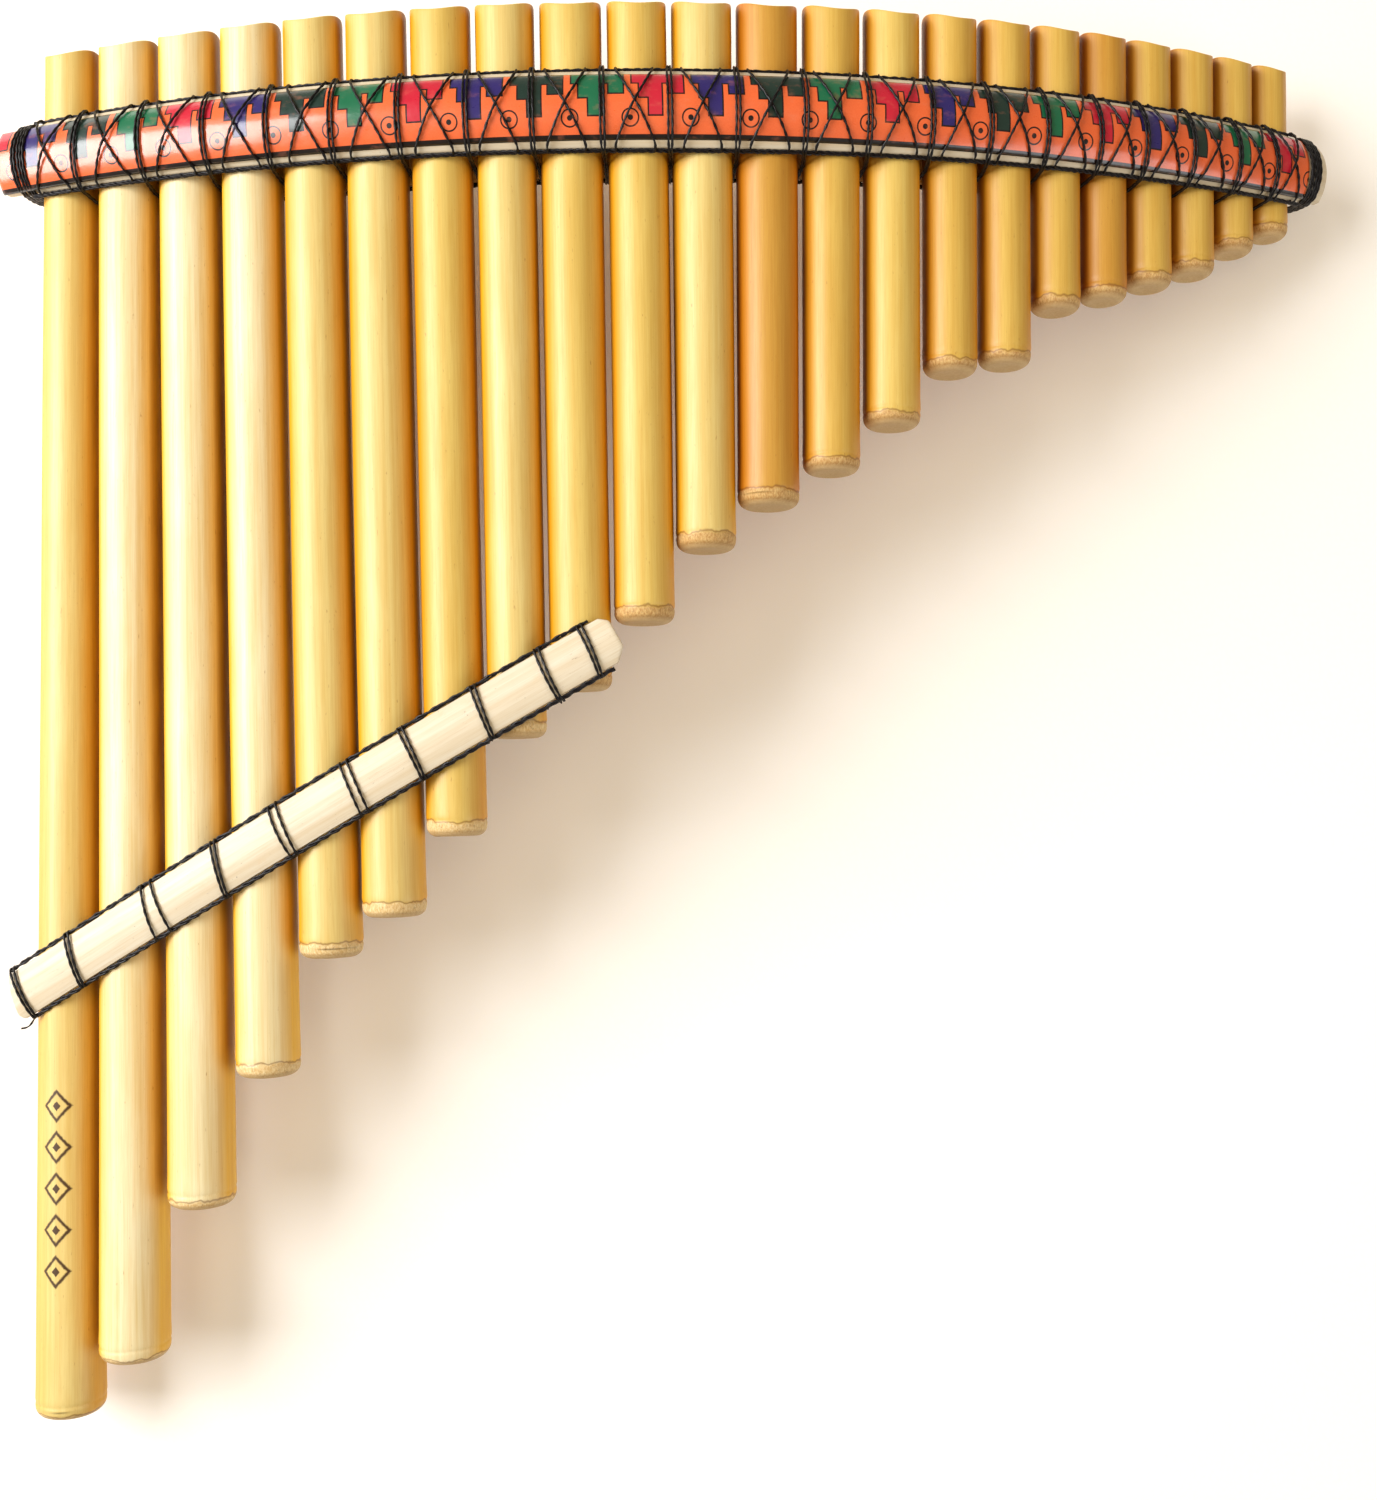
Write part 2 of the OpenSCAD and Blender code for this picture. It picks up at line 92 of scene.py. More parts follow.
# The front head slat's lower side, from DRAW_FROM below its middle, is drawn in towards its ends
DRAW_MOST, DRAW_FROM, DRAW_ANGLE = 0.95, 7.3, 20.0
TAPER_LONG = 16.0
FRONT_TAPER, REAR_TAPER = 0.08, 0.42  # share of their width that the head slats lose at the tips
REAR_RADIUS = 437.1
REAR_X = 4.6
REAR_DROP = 31.75
RIBBON_WIDTH = 15.2
RIBBON_THICK = 0.18

BRACE_ANGLE = -12.49
BRACE_DROP = 189.0
BRACE_SLOPE = math.radians(28.6)
BRACE_LENGTH = 168.0
BRACE_SECTION = BRACE_WIDTH, BRACE_CROWN, BRACE_EDGE = 11.0, 2.3, 1.1
REAR_SKIN = 15.55
REAR_RISE = 2.6  # the rear brace sits a little nearer the mouths than the front one
BRACED = 9

THREAD_R = 0.37
WHIPPING_TURNS = 5
SLIT = 0.05

# ---- layout


def degrees_of(run, radius):
    return math.degrees(run / radius)


def pipe_angles():
    """Angle of each pipe from the top of the curve, at the mouth and at the foot."""
    mouths = [FIRST_ANGLE]
    for i in range(PIPES - 1):
        step = (MOUTH_DIA[i] + MOUTH_DIA[i + 1]) / 2 + PIPE_GAP[i]
        middle = ARC - (MOUTH_DIA[i] + MOUTH_DIA[i + 1]) / 4
        mouths.append(mouths[-1] + degrees_of(step, middle))
    leans = [degrees_of(math.tan(math.radians(PIPE_LEAN[i])) * PIPE_LENGTH[i], ARC - PIPE_AXIS)
             for i in range(PIPES)]
    return mouths, leans


PIPE_ANGLE, LEAN_ANGLE = pipe_angles()


def radius_at(i, drop):
    share = drop / PIPE_LENGTH[i]
    return (MOUTH_DIA[i] + (FOOT_DIA[i] - MOUTH_DIA[i]) * share) / 2


def angle_at(i, drop):
    return PIPE_ANGLE[i] + LEAN_ANGLE[i] * drop / PIPE_LENGTH[i]


def gap_angle(i, drop):
    """Angle of the middle of the gap after pipe i."""
    left = angle_at(i, drop) + degrees_of(radius_at(i, drop), ARC - PIPE_AXIS)
    right = angle_at(i + 1, drop) - degrees_of(radius_at(i + 1, drop), ARC - PIPE_AXIS)
    return (left + right) / 2


def bore_radius(i):
    return MOUTH_DIA[i] / 2 - WALL


def plug_top(i):
    quarter_wave = SOUND_SPEED * 1000 / (4 * LOWEST_NOTE * 2 ** (SCALE_STEPS[i] / 12))
    depth = quarter_wave - 0.6 * bore_radius(i)
    return PIPE_LENGTH[i] - SADDLE * MOUTH_DIA[i] / 2 - depth


def on_arc(angle, drop, height=0.0):
    """Frame on the front curve: X goes round it, Y to the mouths, Z out."""
    return (Matrix.Translation((SHIFT[0], SHIFT[1] - drop, SHIFT[2] - ARC))
            @ Matrix.Rotation(math.radians(angle), 4, "Y")
            @ Matrix.Translation((0, 0, ARC + height)))


def on_pipe(i):
    """Frame of pipe i: Z runs from the foot to the mouth, -Y faces out."""
    foot_r, mouth_r = FOOT_DIA[i] / 2, MOUTH_DIA[i] / 2
    turn = math.radians(LEAN_ANGLE[i])
    side = (ARC - foot_r) * math.sin(turn)
    lift = (ARC - foot_r) * math.cos(turn) - ARC + mouth_r
    return (on_arc(PIPE_ANGLE[i], 0)
            @ Matrix.Translation((side, -PIPE_LENGTH[i], lift - mouth_r))
            @ Matrix.Rotation(math.atan2(side, PIPE_LENGTH[i]), 4, "Z")
            @ Matrix.Rotation(-math.pi / 2 + math.atan2(-lift, PIPE_LENGTH[i]), 4, "X"))


def dome_radius(chord, rise):
    return (chord * chord / 4 + rise * rise) / (2 * rise)


def drawn_in(turn, across):
    """Across positions on the front head slat, whose lower side narrows towards its ends."""
    reach = np.clip(np.abs(turn) / math.radians(DRAW_ANGLE), 0, 1) ** 1.3
    return across + DRAW_MOST * reach * np.clip(-across - DRAW_FROM, 0, 1)


class Strip:
    """Surface of a slat that curves over the pipes."""

    def __init__(self, matrix, radius, out, centre=(0.0, 0.0)):
        self.matrix = np.array(matrix)
        self.radius = radius
        self.out = out
        self.centre = centre

    def points(self, turn, across, height):
        """World points. turn is in radians about the strip's centre, height is out of it."""
        turn, across, height = np.broadcast_arrays(turn, across, height)
        reach = self.radius + self.out * height
        local = np.stack([self.centre[0] + reach * np.sin(turn), across,
                          self.centre[1] + reach * np.cos(turn), np.ones_like(turn)], -1)
        return (local @ self.matrix.T)[..., :3]


HEAD_FRAME = Matrix.Translation((SHIFT[0], SHIFT[1] - HEAD_DROP, SHIFT[2] - ARC))
FRONT_HEAD = Strip(HEAD_FRAME, ARC, 1)
REAR_HEAD = Strip(HEAD_FRAME, REAR_RADIUS, -1, (REAR_X, -REAR_DROP))


def rear_reach(angle):
    """Distance from the centre of the main curve to the rear slat."""
    a = math.radians(angle)
    along = REAR_X * math.sin(a) - REAR_DROP * math.cos(a)
    return along + math.sqrt(along ** 2 + REAR_RADIUS ** 2 - REAR_X ** 2 - REAR_DROP ** 2)


def rear_turn(angle):
    """Angle about the rear curve's centre of the point at an angle on the main curve."""
    return math.asin((rear_reach(angle) * math.sin(math.radians(angle)) - REAR_X) / REAR_RADIUS)


BRACE_FRAME = on_arc(BRACE_ANGLE, BRACE_DROP) @ Matrix.Rotation(BRACE_SLOPE, 4, "Z")
BRACE_ARC = ARC / math.cos(BRACE_SLOPE) ** 2
BRACE_REAR_ARC = (ARC - REAR_SKIN) / math.cos(BRACE_SLOPE) ** 2
FRONT_BRACE = Strip(BRACE_FRAME, BRACE_ARC, 1, (0.0, -BRACE_ARC))
REAR_BRACE = Strip(BRACE_FRAME @ Matrix.Translation((0, REAR_RISE, 0)), BRACE_REAR_ARC, -1,
                   (0.0, -REAR_SKIN - BRACE_REAR_ARC))

# ---- mesh tools


def make_mesh(name, points, faces, material, uv=None):
    """A smooth mesh from points in mm."""
    mesh = bpy.data.meshes.new(name)
    mesh.from_pydata(points * MM, [], faces, shade_flat=False)
    if uv is not None:
        corners = np.concatenate([np.asarray(face, np.int32) for face in faces])
        layer = mesh.uv_layers.new(name="along")
        layer.data.foreach_set("uv", np.asarray(uv, np.float32)[corners].ravel())
    mesh.validate()
    mesh.materials.append(material)
    piece = bpy.data.objects.new(name, mesh)
    bpy.context.scene.collection.objects.link(piece)
    return piece


def grid_faces(rows, columns, closed_columns, closed_rows=False, offset=0, flip=False):
    """Quads over a grid of points, row after row."""
    r = np.arange(rows if closed_rows else rows - 1)
    c = np.arange(columns if closed_columns else columns - 1)
    r, c = [g.ravel() for g in np.meshgrid(r, c, indexing="ij")]
    r2, c2 = (r + 1) % rows, (c + 1) % columns
    quads = np.stack([r * columns + c, r * columns + c2,
                      r2 * columns + c2, r2 * columns + c], -1) + offset
    return quads[:, ::-1] if flip else quads


def finish_piece(piece, node):
    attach(piece, "root")
    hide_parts(node)


def smooth_noise(x, seed, octaves=3):
    """Repeatable smooth 1-D noise between about -1 and 1."""
    rng = np.random.default_rng(seed)
    total = np.zeros_like(x, dtype=float)
    for k in range(octaves):
        phase = rng.uniform(0, 2 * math.pi, 3)
        rate = 2.0 ** k * rng.uniform(0.8, 1.25, 3)
        wave = sum(np.sin(rate[j] * x + phase[j]) for j in range(3)) / 3
        total += wave / 2.0 ** k
    return total / 1.5

# ---- node tools


class Nodes:
    """Short calls for building a node material."""

    def __init__(self, name, **shader):
        self.material = bpy.data.materials.new(name)
        self.material.use_nodes = True
        self.tree = self.material.node_tree
        self.tree.nodes.clear()
        self.shader = self.add("ShaderNodeBsdfPrincipled")
        output = self.add("ShaderNodeOutputMaterial")
        self.tree.links.new(self.shader.outputs[0], output.inputs[0])
        for key, value in shader.items():
            self.shader.inputs[key.replace("_", " ")].default_value = value

    def add(self, kind, inputs=None, **settings):
        node = self.tree.nodes.new(kind)
        for key, value in settings.items():
            setattr(node, key, value)
        for key, value in (inputs or {}).items():
            self.put(node.inputs[key], value)
        return node

    def put(self, socket, value):
        if isinstance(value, bpy.types.NodeSocket):
            self.tree.links.new(value, socket)
        elif value is not None:
            socket.default_value = value

    def math(self, operation, a, b=None, c=None):
        return self.add("ShaderNodeMath", {0: a, 1: b, 2: c}, operation=operation).outputs[0]

    def times(self, a, b):
        return self.math("MULTIPLY", a, b)

    def plus(self, a, b):
        return self.math("ADD", a, b)

    def minus(self, a, b):
        return self.math("SUBTRACT", a, b)

    def split(self, vector):
        return self.add("ShaderNodeSeparateXYZ", {0: vector}).outputs

    def coordinates(self, scale=(1, 1, 1), offset=(0, 0, 0), source="Object"):
        """Places in mm on the piece itself, or on the UV map that source names."""
        if source == "Object":
            start = self.add("ShaderNodeTexCoord").outputs["Object"]
        else:
            start = self.add("ShaderNodeUVMap", uv_map=source).outputs[0]
        size = 1 / MM if source == "Object" else 1.0
        inputs = {"Vector": start, "Scale": tuple(size * k for k in scale), "Location": offset}
        return self.add("ShaderNodeMapping", inputs).outputs[0]

    def noise(self, scale, offset=(0, 0, 0), detail=3.0, roughness=0.5, distortion=0.0,
              source="Object"):
        """Noise with scale cycles in each mm."""
        inputs = {"Vector": self.coordinates(scale, offset, source), "Scale": 1.0,
                  "Detail": detail, "Roughness": roughness, "Distortion": distortion}
        return self.add("ShaderNodeTexNoise", inputs).outputs["Fac"]

    def along(self, x, y, offset=(0, 0, 0), *shape):
        """Noise on the along map of a slat, ribbon or thread."""
        return self.noise((x, y, 1), offset, *shape, source="along")

    def steps(self, value, stops):
        """Jumps from colour to colour. Each stop is (place from 0 to 1, colour)."""
        node = self.add("ShaderNodeValToRGB", {0: value})
        node.color_ramp.interpolation = "CONSTANT"
        elements = node.color_ramp.elements
        while len(elements) < len(stops):
            elements.new(0.5)
        for element, (place, colour) in zip(elements, stops):
            element.position = place
            element.color = (*colour, 1)
        return node.outputs[0]

    def band(self, value, low, high, soft):
        """1 where value lies between low and high, with soft sides."""
        up = self.map_range(value, low - soft, low + soft)
        down = self.map_range(value, high + soft, high - soft)
        return self.times(up, down)

    def map_range(self, value, low, high, to_low=0.0, to_high=1.0):
        inputs = {"Value": value, "From Min": low, "From Max": high,
                  "To Min": to_low, "To Max": to_high}
        return self.add("ShaderNodeMapRange", inputs).outputs[0]

    def mix(self, factor, a, b, blend="MIX"):
        """Mixes two colours, each a socket or red, green and blue."""
        a, b = [value if isinstance(value, bpy.types.NodeSocket) else (*value, 1)
                for value in (a, b)]
        # Sockets 6 and 7 take the colours, and output 2 gives their mix
        return self.add("ShaderNodeMix", data_type="RGBA", blend_type=blend,
                        inputs={"Factor": factor, 6: a, 7: b}).outputs[2]

    def finish(self, colour, roughness, *layers):
        """Fills the shader. Each layer of bump is (height, strength, distance in mm)."""
        normal = None
        for height, strength, distance in layers:
            normal = self.add("ShaderNodeBump", {
                "Strength": strength, "Distance": distance * MM,
                "Height": height, "Normal": normal}).outputs[0]
        for key, value in (("Base Color", colour), ("Roughness", roughness), ("Normal", normal)):
            self.put(self.shader.inputs[key], value)
        return self.material


def srgb(red, green, blue):
    """Linear colour from 0-255 display values."""
    return tuple(c / 255 / 12.92 if c <= 10 else ((c / 255 + 0.055) / 1.055) ** 2.4
                 for c in (red, green, blue))


def tint(colour, factors):
    return tuple(min(1.0, c * f) for c, f in zip(colour, factors))

# ---- materials

STRAW = srgb(234, 221, 178)
PALE_GOLD = srgb(222, 200, 128)
GOLD = srgb(218, 190, 104)
AMBER = srgb(210, 175, 86)
BROWN = srgb(198, 150, 62)
# From the longest pipe to the shortest. The tones differ from pipe to pipe as cane does, and the
# darker tones among the shorter pipes are also painted shade for light that falls off towards that
# end.
PIPE_TONE = [PALE_GOLD, STRAW, STRAW, STRAW, PALE_GOLD, PALE_GOLD, GOLD, PALE_GOLD,
             GOLD, GOLD, PALE_GOLD, BROWN, AMBER, GOLD, AMBER, AMBER,
             AMBER, BROWN, AMBER, AMBER, AMBER, AMBER]
# How far up the sanded foot reaches, in mm
FOOT_EDGE = [2.5, 2.8, 3.4] + [4.7] * 9 + [3.7] * 10
PALE_FEET = 8  # pipes whose sanded foot is pale, from the longest
# The row of burnt diamonds: where it lies on the pipe, and half a diamond's width and height
BURN_PITCH, BURN_FROM, BURN_TO = 9.6, 30.0, 78.0
BURN_X, BURN_HALF = 1.6, (3.3, 4.0)


def burnt_row(m, at, shift):
    """How burnt the cane is: a plain row of diamonds with dots, on the front of the pipe."""
    rise = m.math("FRACT", m.math("DIVIDE", m.minus(at["Z"], BURN_FROM), BURN_PITCH))
    rise = m.math("ABSOLUTE", m.times(m.minus(rise, 0.5), BURN_PITCH))
    wide = m.math("ABSOLUTE", m.minus(at["X"], BURN_X))
    far = m.plus(m.math("DIVIDE", wide, BURN_HALF[0]), m.math("DIVIDE", rise, BURN_HALF[1]))
    ragged = m.math("MULTIPLY_ADD", m.noise((1.5, 1.5, 1.5), shift), 0.16, far)
    mark = m.math("MAXIMUM", m.band(ragged, 0.80, 1.06, 0.06), m.map_range(ragged, 0.40, 0.34))
    mark = m.times(mark, m.band(at["Z"], BURN_FROM, BURN_TO, 0.2))
    return m.times(mark, m.map_range(at["Y"], -1.0, -2.0, 0.0, 0.95))


def raw_cane(m, i, shift):
    """Long fibres, streaks, pale clouds and small flecks, and their fibre and cloud noise."""
    base = PIPE_TONE[i]
    fibre = m.noise((5.0, 5.0, 0.09), shift, 5.0, 0.62)
    streak = m.noise((0.9, 0.9, 0.012), shift, 3.0, 0.55)
    cloud = m.noise((0.12, 0.12, 0.03), shift, 4.0, 0.6)
    fleck = m.noise((2.2, 2.2, 0.5), shift, 2.0, 0.5)
    shade, light, dark = [tint(base, factors) for factors in
                          ((0.90, 0.80, 0.62), (1.06, 1.12, 1.3), (0.80, 0.66, 0.45))]
    colour = m.mix(m.map_range(streak, 0.32, 0.68), shade, base)
    colour = m.mix(m.map_range(cloud, 0.45, 0.75, 0.0, 0.55), colour, light)
    colour = m.mix(m.map_range(fibre, 0.42, 0.72, 0.0, 0.5), colour, dark)
    colour = m.mix(m.map_range(fleck, 0.70, 0.80, 0.0, 0.55), colour, srgb(150, 92, 40))
    return colour, fibre, cloud


def sanded_foot(m, i, shift, z, colour):
    """The rough foot below the scar of the node, with its grain and how far it is foot."""
    grain = m.noise((2.6, 2.6, 1.1), shift, 5.0, 0.7)
    wander = m.math("MULTIPLY_ADD", m.noise((0.35, 0.35, 0.2), shift, 2.0), 2.6, z)
    edge = FOOT_EDGE[i]
    foot = m.map_range(wander, edge + 0.2, edge - 0.4)
    low, high = (204, 166, 104), (232, 210, 160)
    if i >= PALE_FEET:
        low, high = (176, 130, 70), (216, 184, 122)
    rough = m.mix(m.map_range(grain, 0.38, 0.66), srgb(*low), srgb(*high))
    colour = m.mix(foot, colour, rough)
    scar = m.band(wander, edge, edge + 0.3, 0.2)
    colour = m.mix(m.times(scar, 0.85), colour, srgb(118, 70, 26))
    spot = m.map_range(m.noise((1.9, 1.9, 1.2), shift, 4.0, 0.7), 0.56, 0.66)
    colour = m.mix(m.times(m.times(spot, foot), 0.5), colour, srgb(130, 88, 44))
    rings = m.noise((1.6, 1.6, 0.5), shift, 4.0, 0.65, 0.8)
    disc = m.mix(rings, srgb(170, 132, 80), srgb(212, 186, 138))
    colour = m.mix(m.map_range(z, 1.1, 0.4), colour, disc)
    rim = m.times(m.band(z, 0.7, 1.3, 0.3), 0.35)
    return m.mix(rim, colour, srgb(120, 80, 36)), grain, foot


def crevice_shade(m, i, shift, z, side, colour):
    """Painted shade, dark orange-brown, where the pipes lie against each other."""
    sides = []
    if i:
        sides.append(m.map_range(side, -0.90, -1.03))
    if i < PIPES - 1:
        start = PIPE_LENGTH[i] - PIPE_LENGTH[i + 1]  # the next pipe's foot
        sides.append(m.times(m.map_range(side, 0.92, 1.05), m.map_range(z, start - 1, start + 7)))
    both = m.plus(*sides) if len(sides) == 2 else sides[0]
    shade_unevenness = m.map_range(m.noise((0.3, 0.3, 0.06), shift, 3.0), 0.2, 0.6, 0.6, 1)
    # Painted shade in the gaps between pipes, patchy along the pipe
    return m.mix(m.times(both, shade_unevenness), colour, srgb(100, 42, 10))


def cut_lip(m, i, shift, z, colour):
    """Cut fibres at the mouth, and how far it is lip."""
    normal = m.split(m.add("ShaderNodeNewGeometry").outputs["Normal"])
    lip = m.times(m.map_range(normal["Y"], 0.45, 0.8),
                  m.map_range(z, PIPE_LENGTH[i] - 6, PIPE_LENGTH[i] - 5))
    pith = m.noise((7.0, 7.0, 3.0), shift, 2.0, 0.6)
    return m.mix(lip, colour, m.mix(pith, srgb(214, 170, 96), srgb(250, 236, 196))), lip


def cane_material(i):
    """Golden cane with a sanded foot. Painted light and shade leave it pale on top and darker and
    more orange round both sides, and painted shade darkens it between the pipes.
    """
    m = Nodes(f"cane_{i + 1:02d}", Specular_IOR_Level=0.5, Coat_Weight=0.10,
              Coat_Roughness=0.3)
    shift = (13.7 * i, 5.3 * i, 31.0 * i)
    at = m.split(m.coordinates())
    z = at["Z"]
    radius = m.map_range(z, 0, PIPE_LENGTH[i], FOOT_DIA[i] / 2, MOUTH_DIA[i] / 2)
    colour, fibre, cloud = raw_cane(m, i, shift)
    # facing is -1 where the cane faces straight up. Painted light and shade: paler where it faces
    # up, darker and more orange round both sides.
    turn = math.radians(PIPE_ANGLE[i])
    facing = m.plus(m.times(at["X"], math.sin(turn)), m.times(at["Y"], math.cos(turn)))
    facing = m.math("DIVIDE", facing, radius)
    colour = m.mix(m.map_range(facing, -0.95, -0.48), colour, (1.02, 0.66, 0.05), "MULTIPLY")
    colour, grain, foot = sanded_foot(m, i, shift, z, colour)
    # Painted shade between the pipes
    colour = crevice_shade(m, i, shift, z, m.math("DIVIDE", at["X"], radius), colour)
    if i == 0:
        colour = m.mix(burnt_row(m, at, shift), colour, srgb(56, 25, 12))
    colour, lip = cut_lip(m, i, shift, z, colour)
    rough = m.map_range(fibre, 0.3, 0.75, 0.38, 0.54)
    rough = m.math("MAXIMUM", rough, m.times(foot, 0.72))
    rough = m.math("MAXIMUM", rough, m.times(lip, 0.7))
    return m.finish(colour, rough, (fibre, 0.25, 0.05), (cloud, 0.3, 0.12),
                    (m.times(grain, foot), 0.6, 0.12))


def split_cane_material(name, base, dark):
    """Pale split cane with hairline cracks, specks and fibres along it."""
    m = Nodes(name, Specular_IOR_Level=0.4, Coat_Weight=0.08, Coat_Roughness=0.3)
    fibre = m.along(0.10, 4.5, (0, 0, 0), 5.0, 0.6)
    streak = m.along(0.016, 0.7, (0, 0, 0), 3.0, 0.5)
    stain = m.along(0.16, 0.22, (7, 3, 0), 5.0, 0.62)
    speck = m.along(1.1, 1.9, (2, 9, 0), 2.0, 0.5)
    colour = m.mix(m.map_range(streak, 0.3, 0.7), dark, base)
    colour = m.mix(m.map_range(fibre, 0.5, 0.78, 0.0, 0.55), colour, tint(dark, (0.84, 0.76, 0.62)))
    colour = m.mix(m.map_range(stain, 0.60, 0.78, 0.0, 0.5), colour, srgb(214, 178, 132))
    colour = m.mix(m.map_range(speck, 0.735, 0.77, 0.0, 0.85), colour, srgb(92, 66, 48))
    crack = m.along(0.035, 0.9, (4, 1, 0), 1.0, 0.3, 1.2)
    line = m.band(crack, 0.6185, 0.6215, 0.0018)
    place = m.map_range(m.along(0.05, 0.1, (1, 5, 0), 1.0), 0.56, 0.62)
    line = m.times(line, place)
    colour = m.mix(m.times(line, 0.7), colour, srgb(120, 88, 60))
    return m.finish(colour, m.map_range(fibre, 0.3, 0.7, 0.38, 0.55), (fibre, 0.2, 0.05),
                    (m.minus(1.0, line), 0.4, 0.08), (stain, 0.2, 0.15))


def thread_material(name, dark, light):
    """Black waxed thread: fine plies along it and pale wax rubbed on in patches."""
    m = Nodes(name, Specular_IOR_Level=0.35)
    fuzz = m.along(2.2, 6.0, (0, 0, 0), 3.0, 0.6)
    wax = m.along(0.5, 1.0, (3, 8, 0), 3.0, 0.6)
    colour = m.mix(m.map_range(fuzz, 0.35, 0.7), dark, light)
    colour = m.mix(m.map_range(wax, 0.6, 0.8, 0.0, 0.5), colour, srgb(48, 43, 45))
    return m.finish(colour, m.map_range(wax, 0.3, 0.75, 0.52, 0.3), (fuzz, 0.5, 0.06))


def cork_material():
    """Brown cork for the hidden tuning plugs."""
    m = Nodes("cork", Specular_IOR_Level=0.2)
    grain = m.noise((0.9, 0.9, 0.9), (0, 0, 0), 6.0, 0.7)
    pore = m.noise((2.4, 2.4, 2.4), (5, 2, 1), 2.0, 0.5)
    colour = m.mix(m.map_range(grain, 0.3, 0.7), srgb(120, 82, 48), srgb(186, 140, 92))
    colour = m.mix(m.map_range(pore, 0.62, 0.7), colour, srgb(70, 44, 26))
    return m.finish(colour, m.map_range(grain, 0.3, 0.7, 0.95, 0.75), (grain, 0.6, 0.3))


PATTERN_PERIOD, PATTERN_START = 13.65, 1.69
PATTERN_TOP, PATTERN_DEPTH = 0.35, 14.7
# (place in the period, depth of the stepped figure in mm) from its left side
STEPS = [(0.0, 3.2), (0.115, 6.9), (0.27, 10.8), (0.51, 3.2), (0.61, 5.9), (0.87, 0.0)]
OUTLINE = 0.18
RING_RADIUS, RING_DEPTH, DOT_RADIUS = 1.85, 11.2, 0.6
FIGURE_COLOURS = [srgb(196, 30, 54), srgb(44, 34, 104), srgb(26, 50, 44), srgb(22, 104, 70)]


def ribbon_material():
    """Printed ribbon under clear film: a stepped figure in four colours on orange, with rings."""
    m = Nodes("printed_ribbon", Specular_IOR_Level=0.5, Coat_Weight=0.8,
              Coat_Roughness=0.16)
    place = m.split(m.coordinates(source="along"))
    cell = m.math("DIVIDE", place["X"], PATTERN_PERIOD)
    depth = m.minus(place["Y"], PATTERN_TOP)
    figure = [(start, (deep / PATTERN_DEPTH,) * 3) for start, deep in STEPS]

    def figure_depth(shift):
        moved = m.math("FRACT", m.plus(cell, shift / PATTERN_PERIOD))
        return m.times(m.steps(moved, figure), PATTERN_DEPTH)

    here, left, right = figure_depth(0), figure_depth(-OUTLINE), figure_depth(OUTLINE)
    outer = m.math("MAXIMUM", here, m.math("MAXIMUM", left, right))
    inner = m.math("MINIMUM", here, m.math("MINIMUM", left, right))
    in_outer = m.math("LESS_THAN", depth, m.plus(outer, OUTLINE))
    in_outer = m.times(in_outer, m.math("GREATER_THAN", outer, 0.5))
    in_inner = m.math("LESS_THAN", depth, m.minus(inner, OUTLINE))
    # The figures take the colours in turn
    colours = len(FIGURE_COLOURS)
    index = m.math("FRACT", m.math("DIVIDE", m.plus(m.math("FLOOR", cell), 1), colours))
    paint = m.steps(index, [(max(0.0, (k - 0.4) / colours), colour)
                            for k, colour in enumerate(FIGURE_COLOURS)])
    ink = srgb(24, 16, 18)
    print_grain = m.along(3.0, 3.0, (0, 0, 0), 4.0, 0.7)
    ground = m.mix(print_grain, srgb(222, 84, 40), srgb(240, 120, 66))
    colour = m.mix(in_outer, ground, ink)
    colour = m.mix(in_inner, colour, paint)
    # Rings with a dot
    across = m.minus(m.math("FRACT", m.plus(cell, 0.525)), 0.5)
    across = m.times(across, PATTERN_PERIOD)
    down = m.minus(depth, RING_DEPTH)
    far = m.math("SQRT", m.plus(m.times(across, across),
                                m.times(down, down)))
    ring = m.math("COMPARE", far, RING_RADIUS, OUTLINE)
    dot = m.math("LESS_THAN", far, DOT_RADIUS)
    colour = m.mix(m.math("MAXIMUM", ring, dot), colour, ink)
    # Dark lines along both edges of the print
    stripe = m.math("GREATER_THAN", depth, PATTERN_DEPTH)
    top_line = m.math("LESS_THAN", depth, 0.08)
    colour = m.mix(m.math("MAXIMUM", stripe, top_line), colour, ink)
    wear = m.along(0.25, 0.4, (6, 2, 0), 4.0, 0.6)
    colour = m.mix(m.map_range(wear, 0.55, 0.8, 0.0, 0.3), colour, srgb(214, 128, 96))
    ripple = m.along(0.35, 0.5, (1, 7, 0), 3.0, 0.5)
    return m.finish(colour, m.map_range(wear, 0.3, 0.7, 0.26, 0.42), (ripple, 0.35, 0.25),
                    (print_grain, 0.08, 0.03))


MAT_CANE = [cane_material(i) for i in range(PIPES)]
MAT_SLAT = split_cane_material("split_cane", srgb(219, 210, 190), srgb(207, 190, 160))
MAT_REAR_SLAT = split_cane_material("split_cane_rear", srgb(240, 224, 184), srgb(224, 200, 150))
MAT_THREAD = thread_material("waxed_thread", srgb(5, 4, 5), srgb(22, 18, 20))
MAT_CORD = thread_material("edge_thread", srgb(7, 5, 6), srgb(30, 24, 28))
MAT_RIBBON = ribbon_material()
MAT_CORK = cork_material()

# ---- pipes

SIDES = 72
LIP_OUTER, LIP_SHOULDER, LIP_INNER = 0.35, 1.1, 0.25
BLEND = 12.0  # how far below the lip its saddle shape reaches into the rows of the mesh


def saddle(i, across):
    """Height of the lip surface at a distance sideways from the pipe's axis."""
    mouth_r = MOUTH_DIA[i] / 2
    saddle_r = mouth_r * (1 + SADDLE ** 2) / (2 * SADDLE)
    return (PIPE_LENGTH[i] + saddle_r - SADDLE * mouth_r
            - np.sqrt(saddle_r ** 2 - np.asarray(across) ** 2))


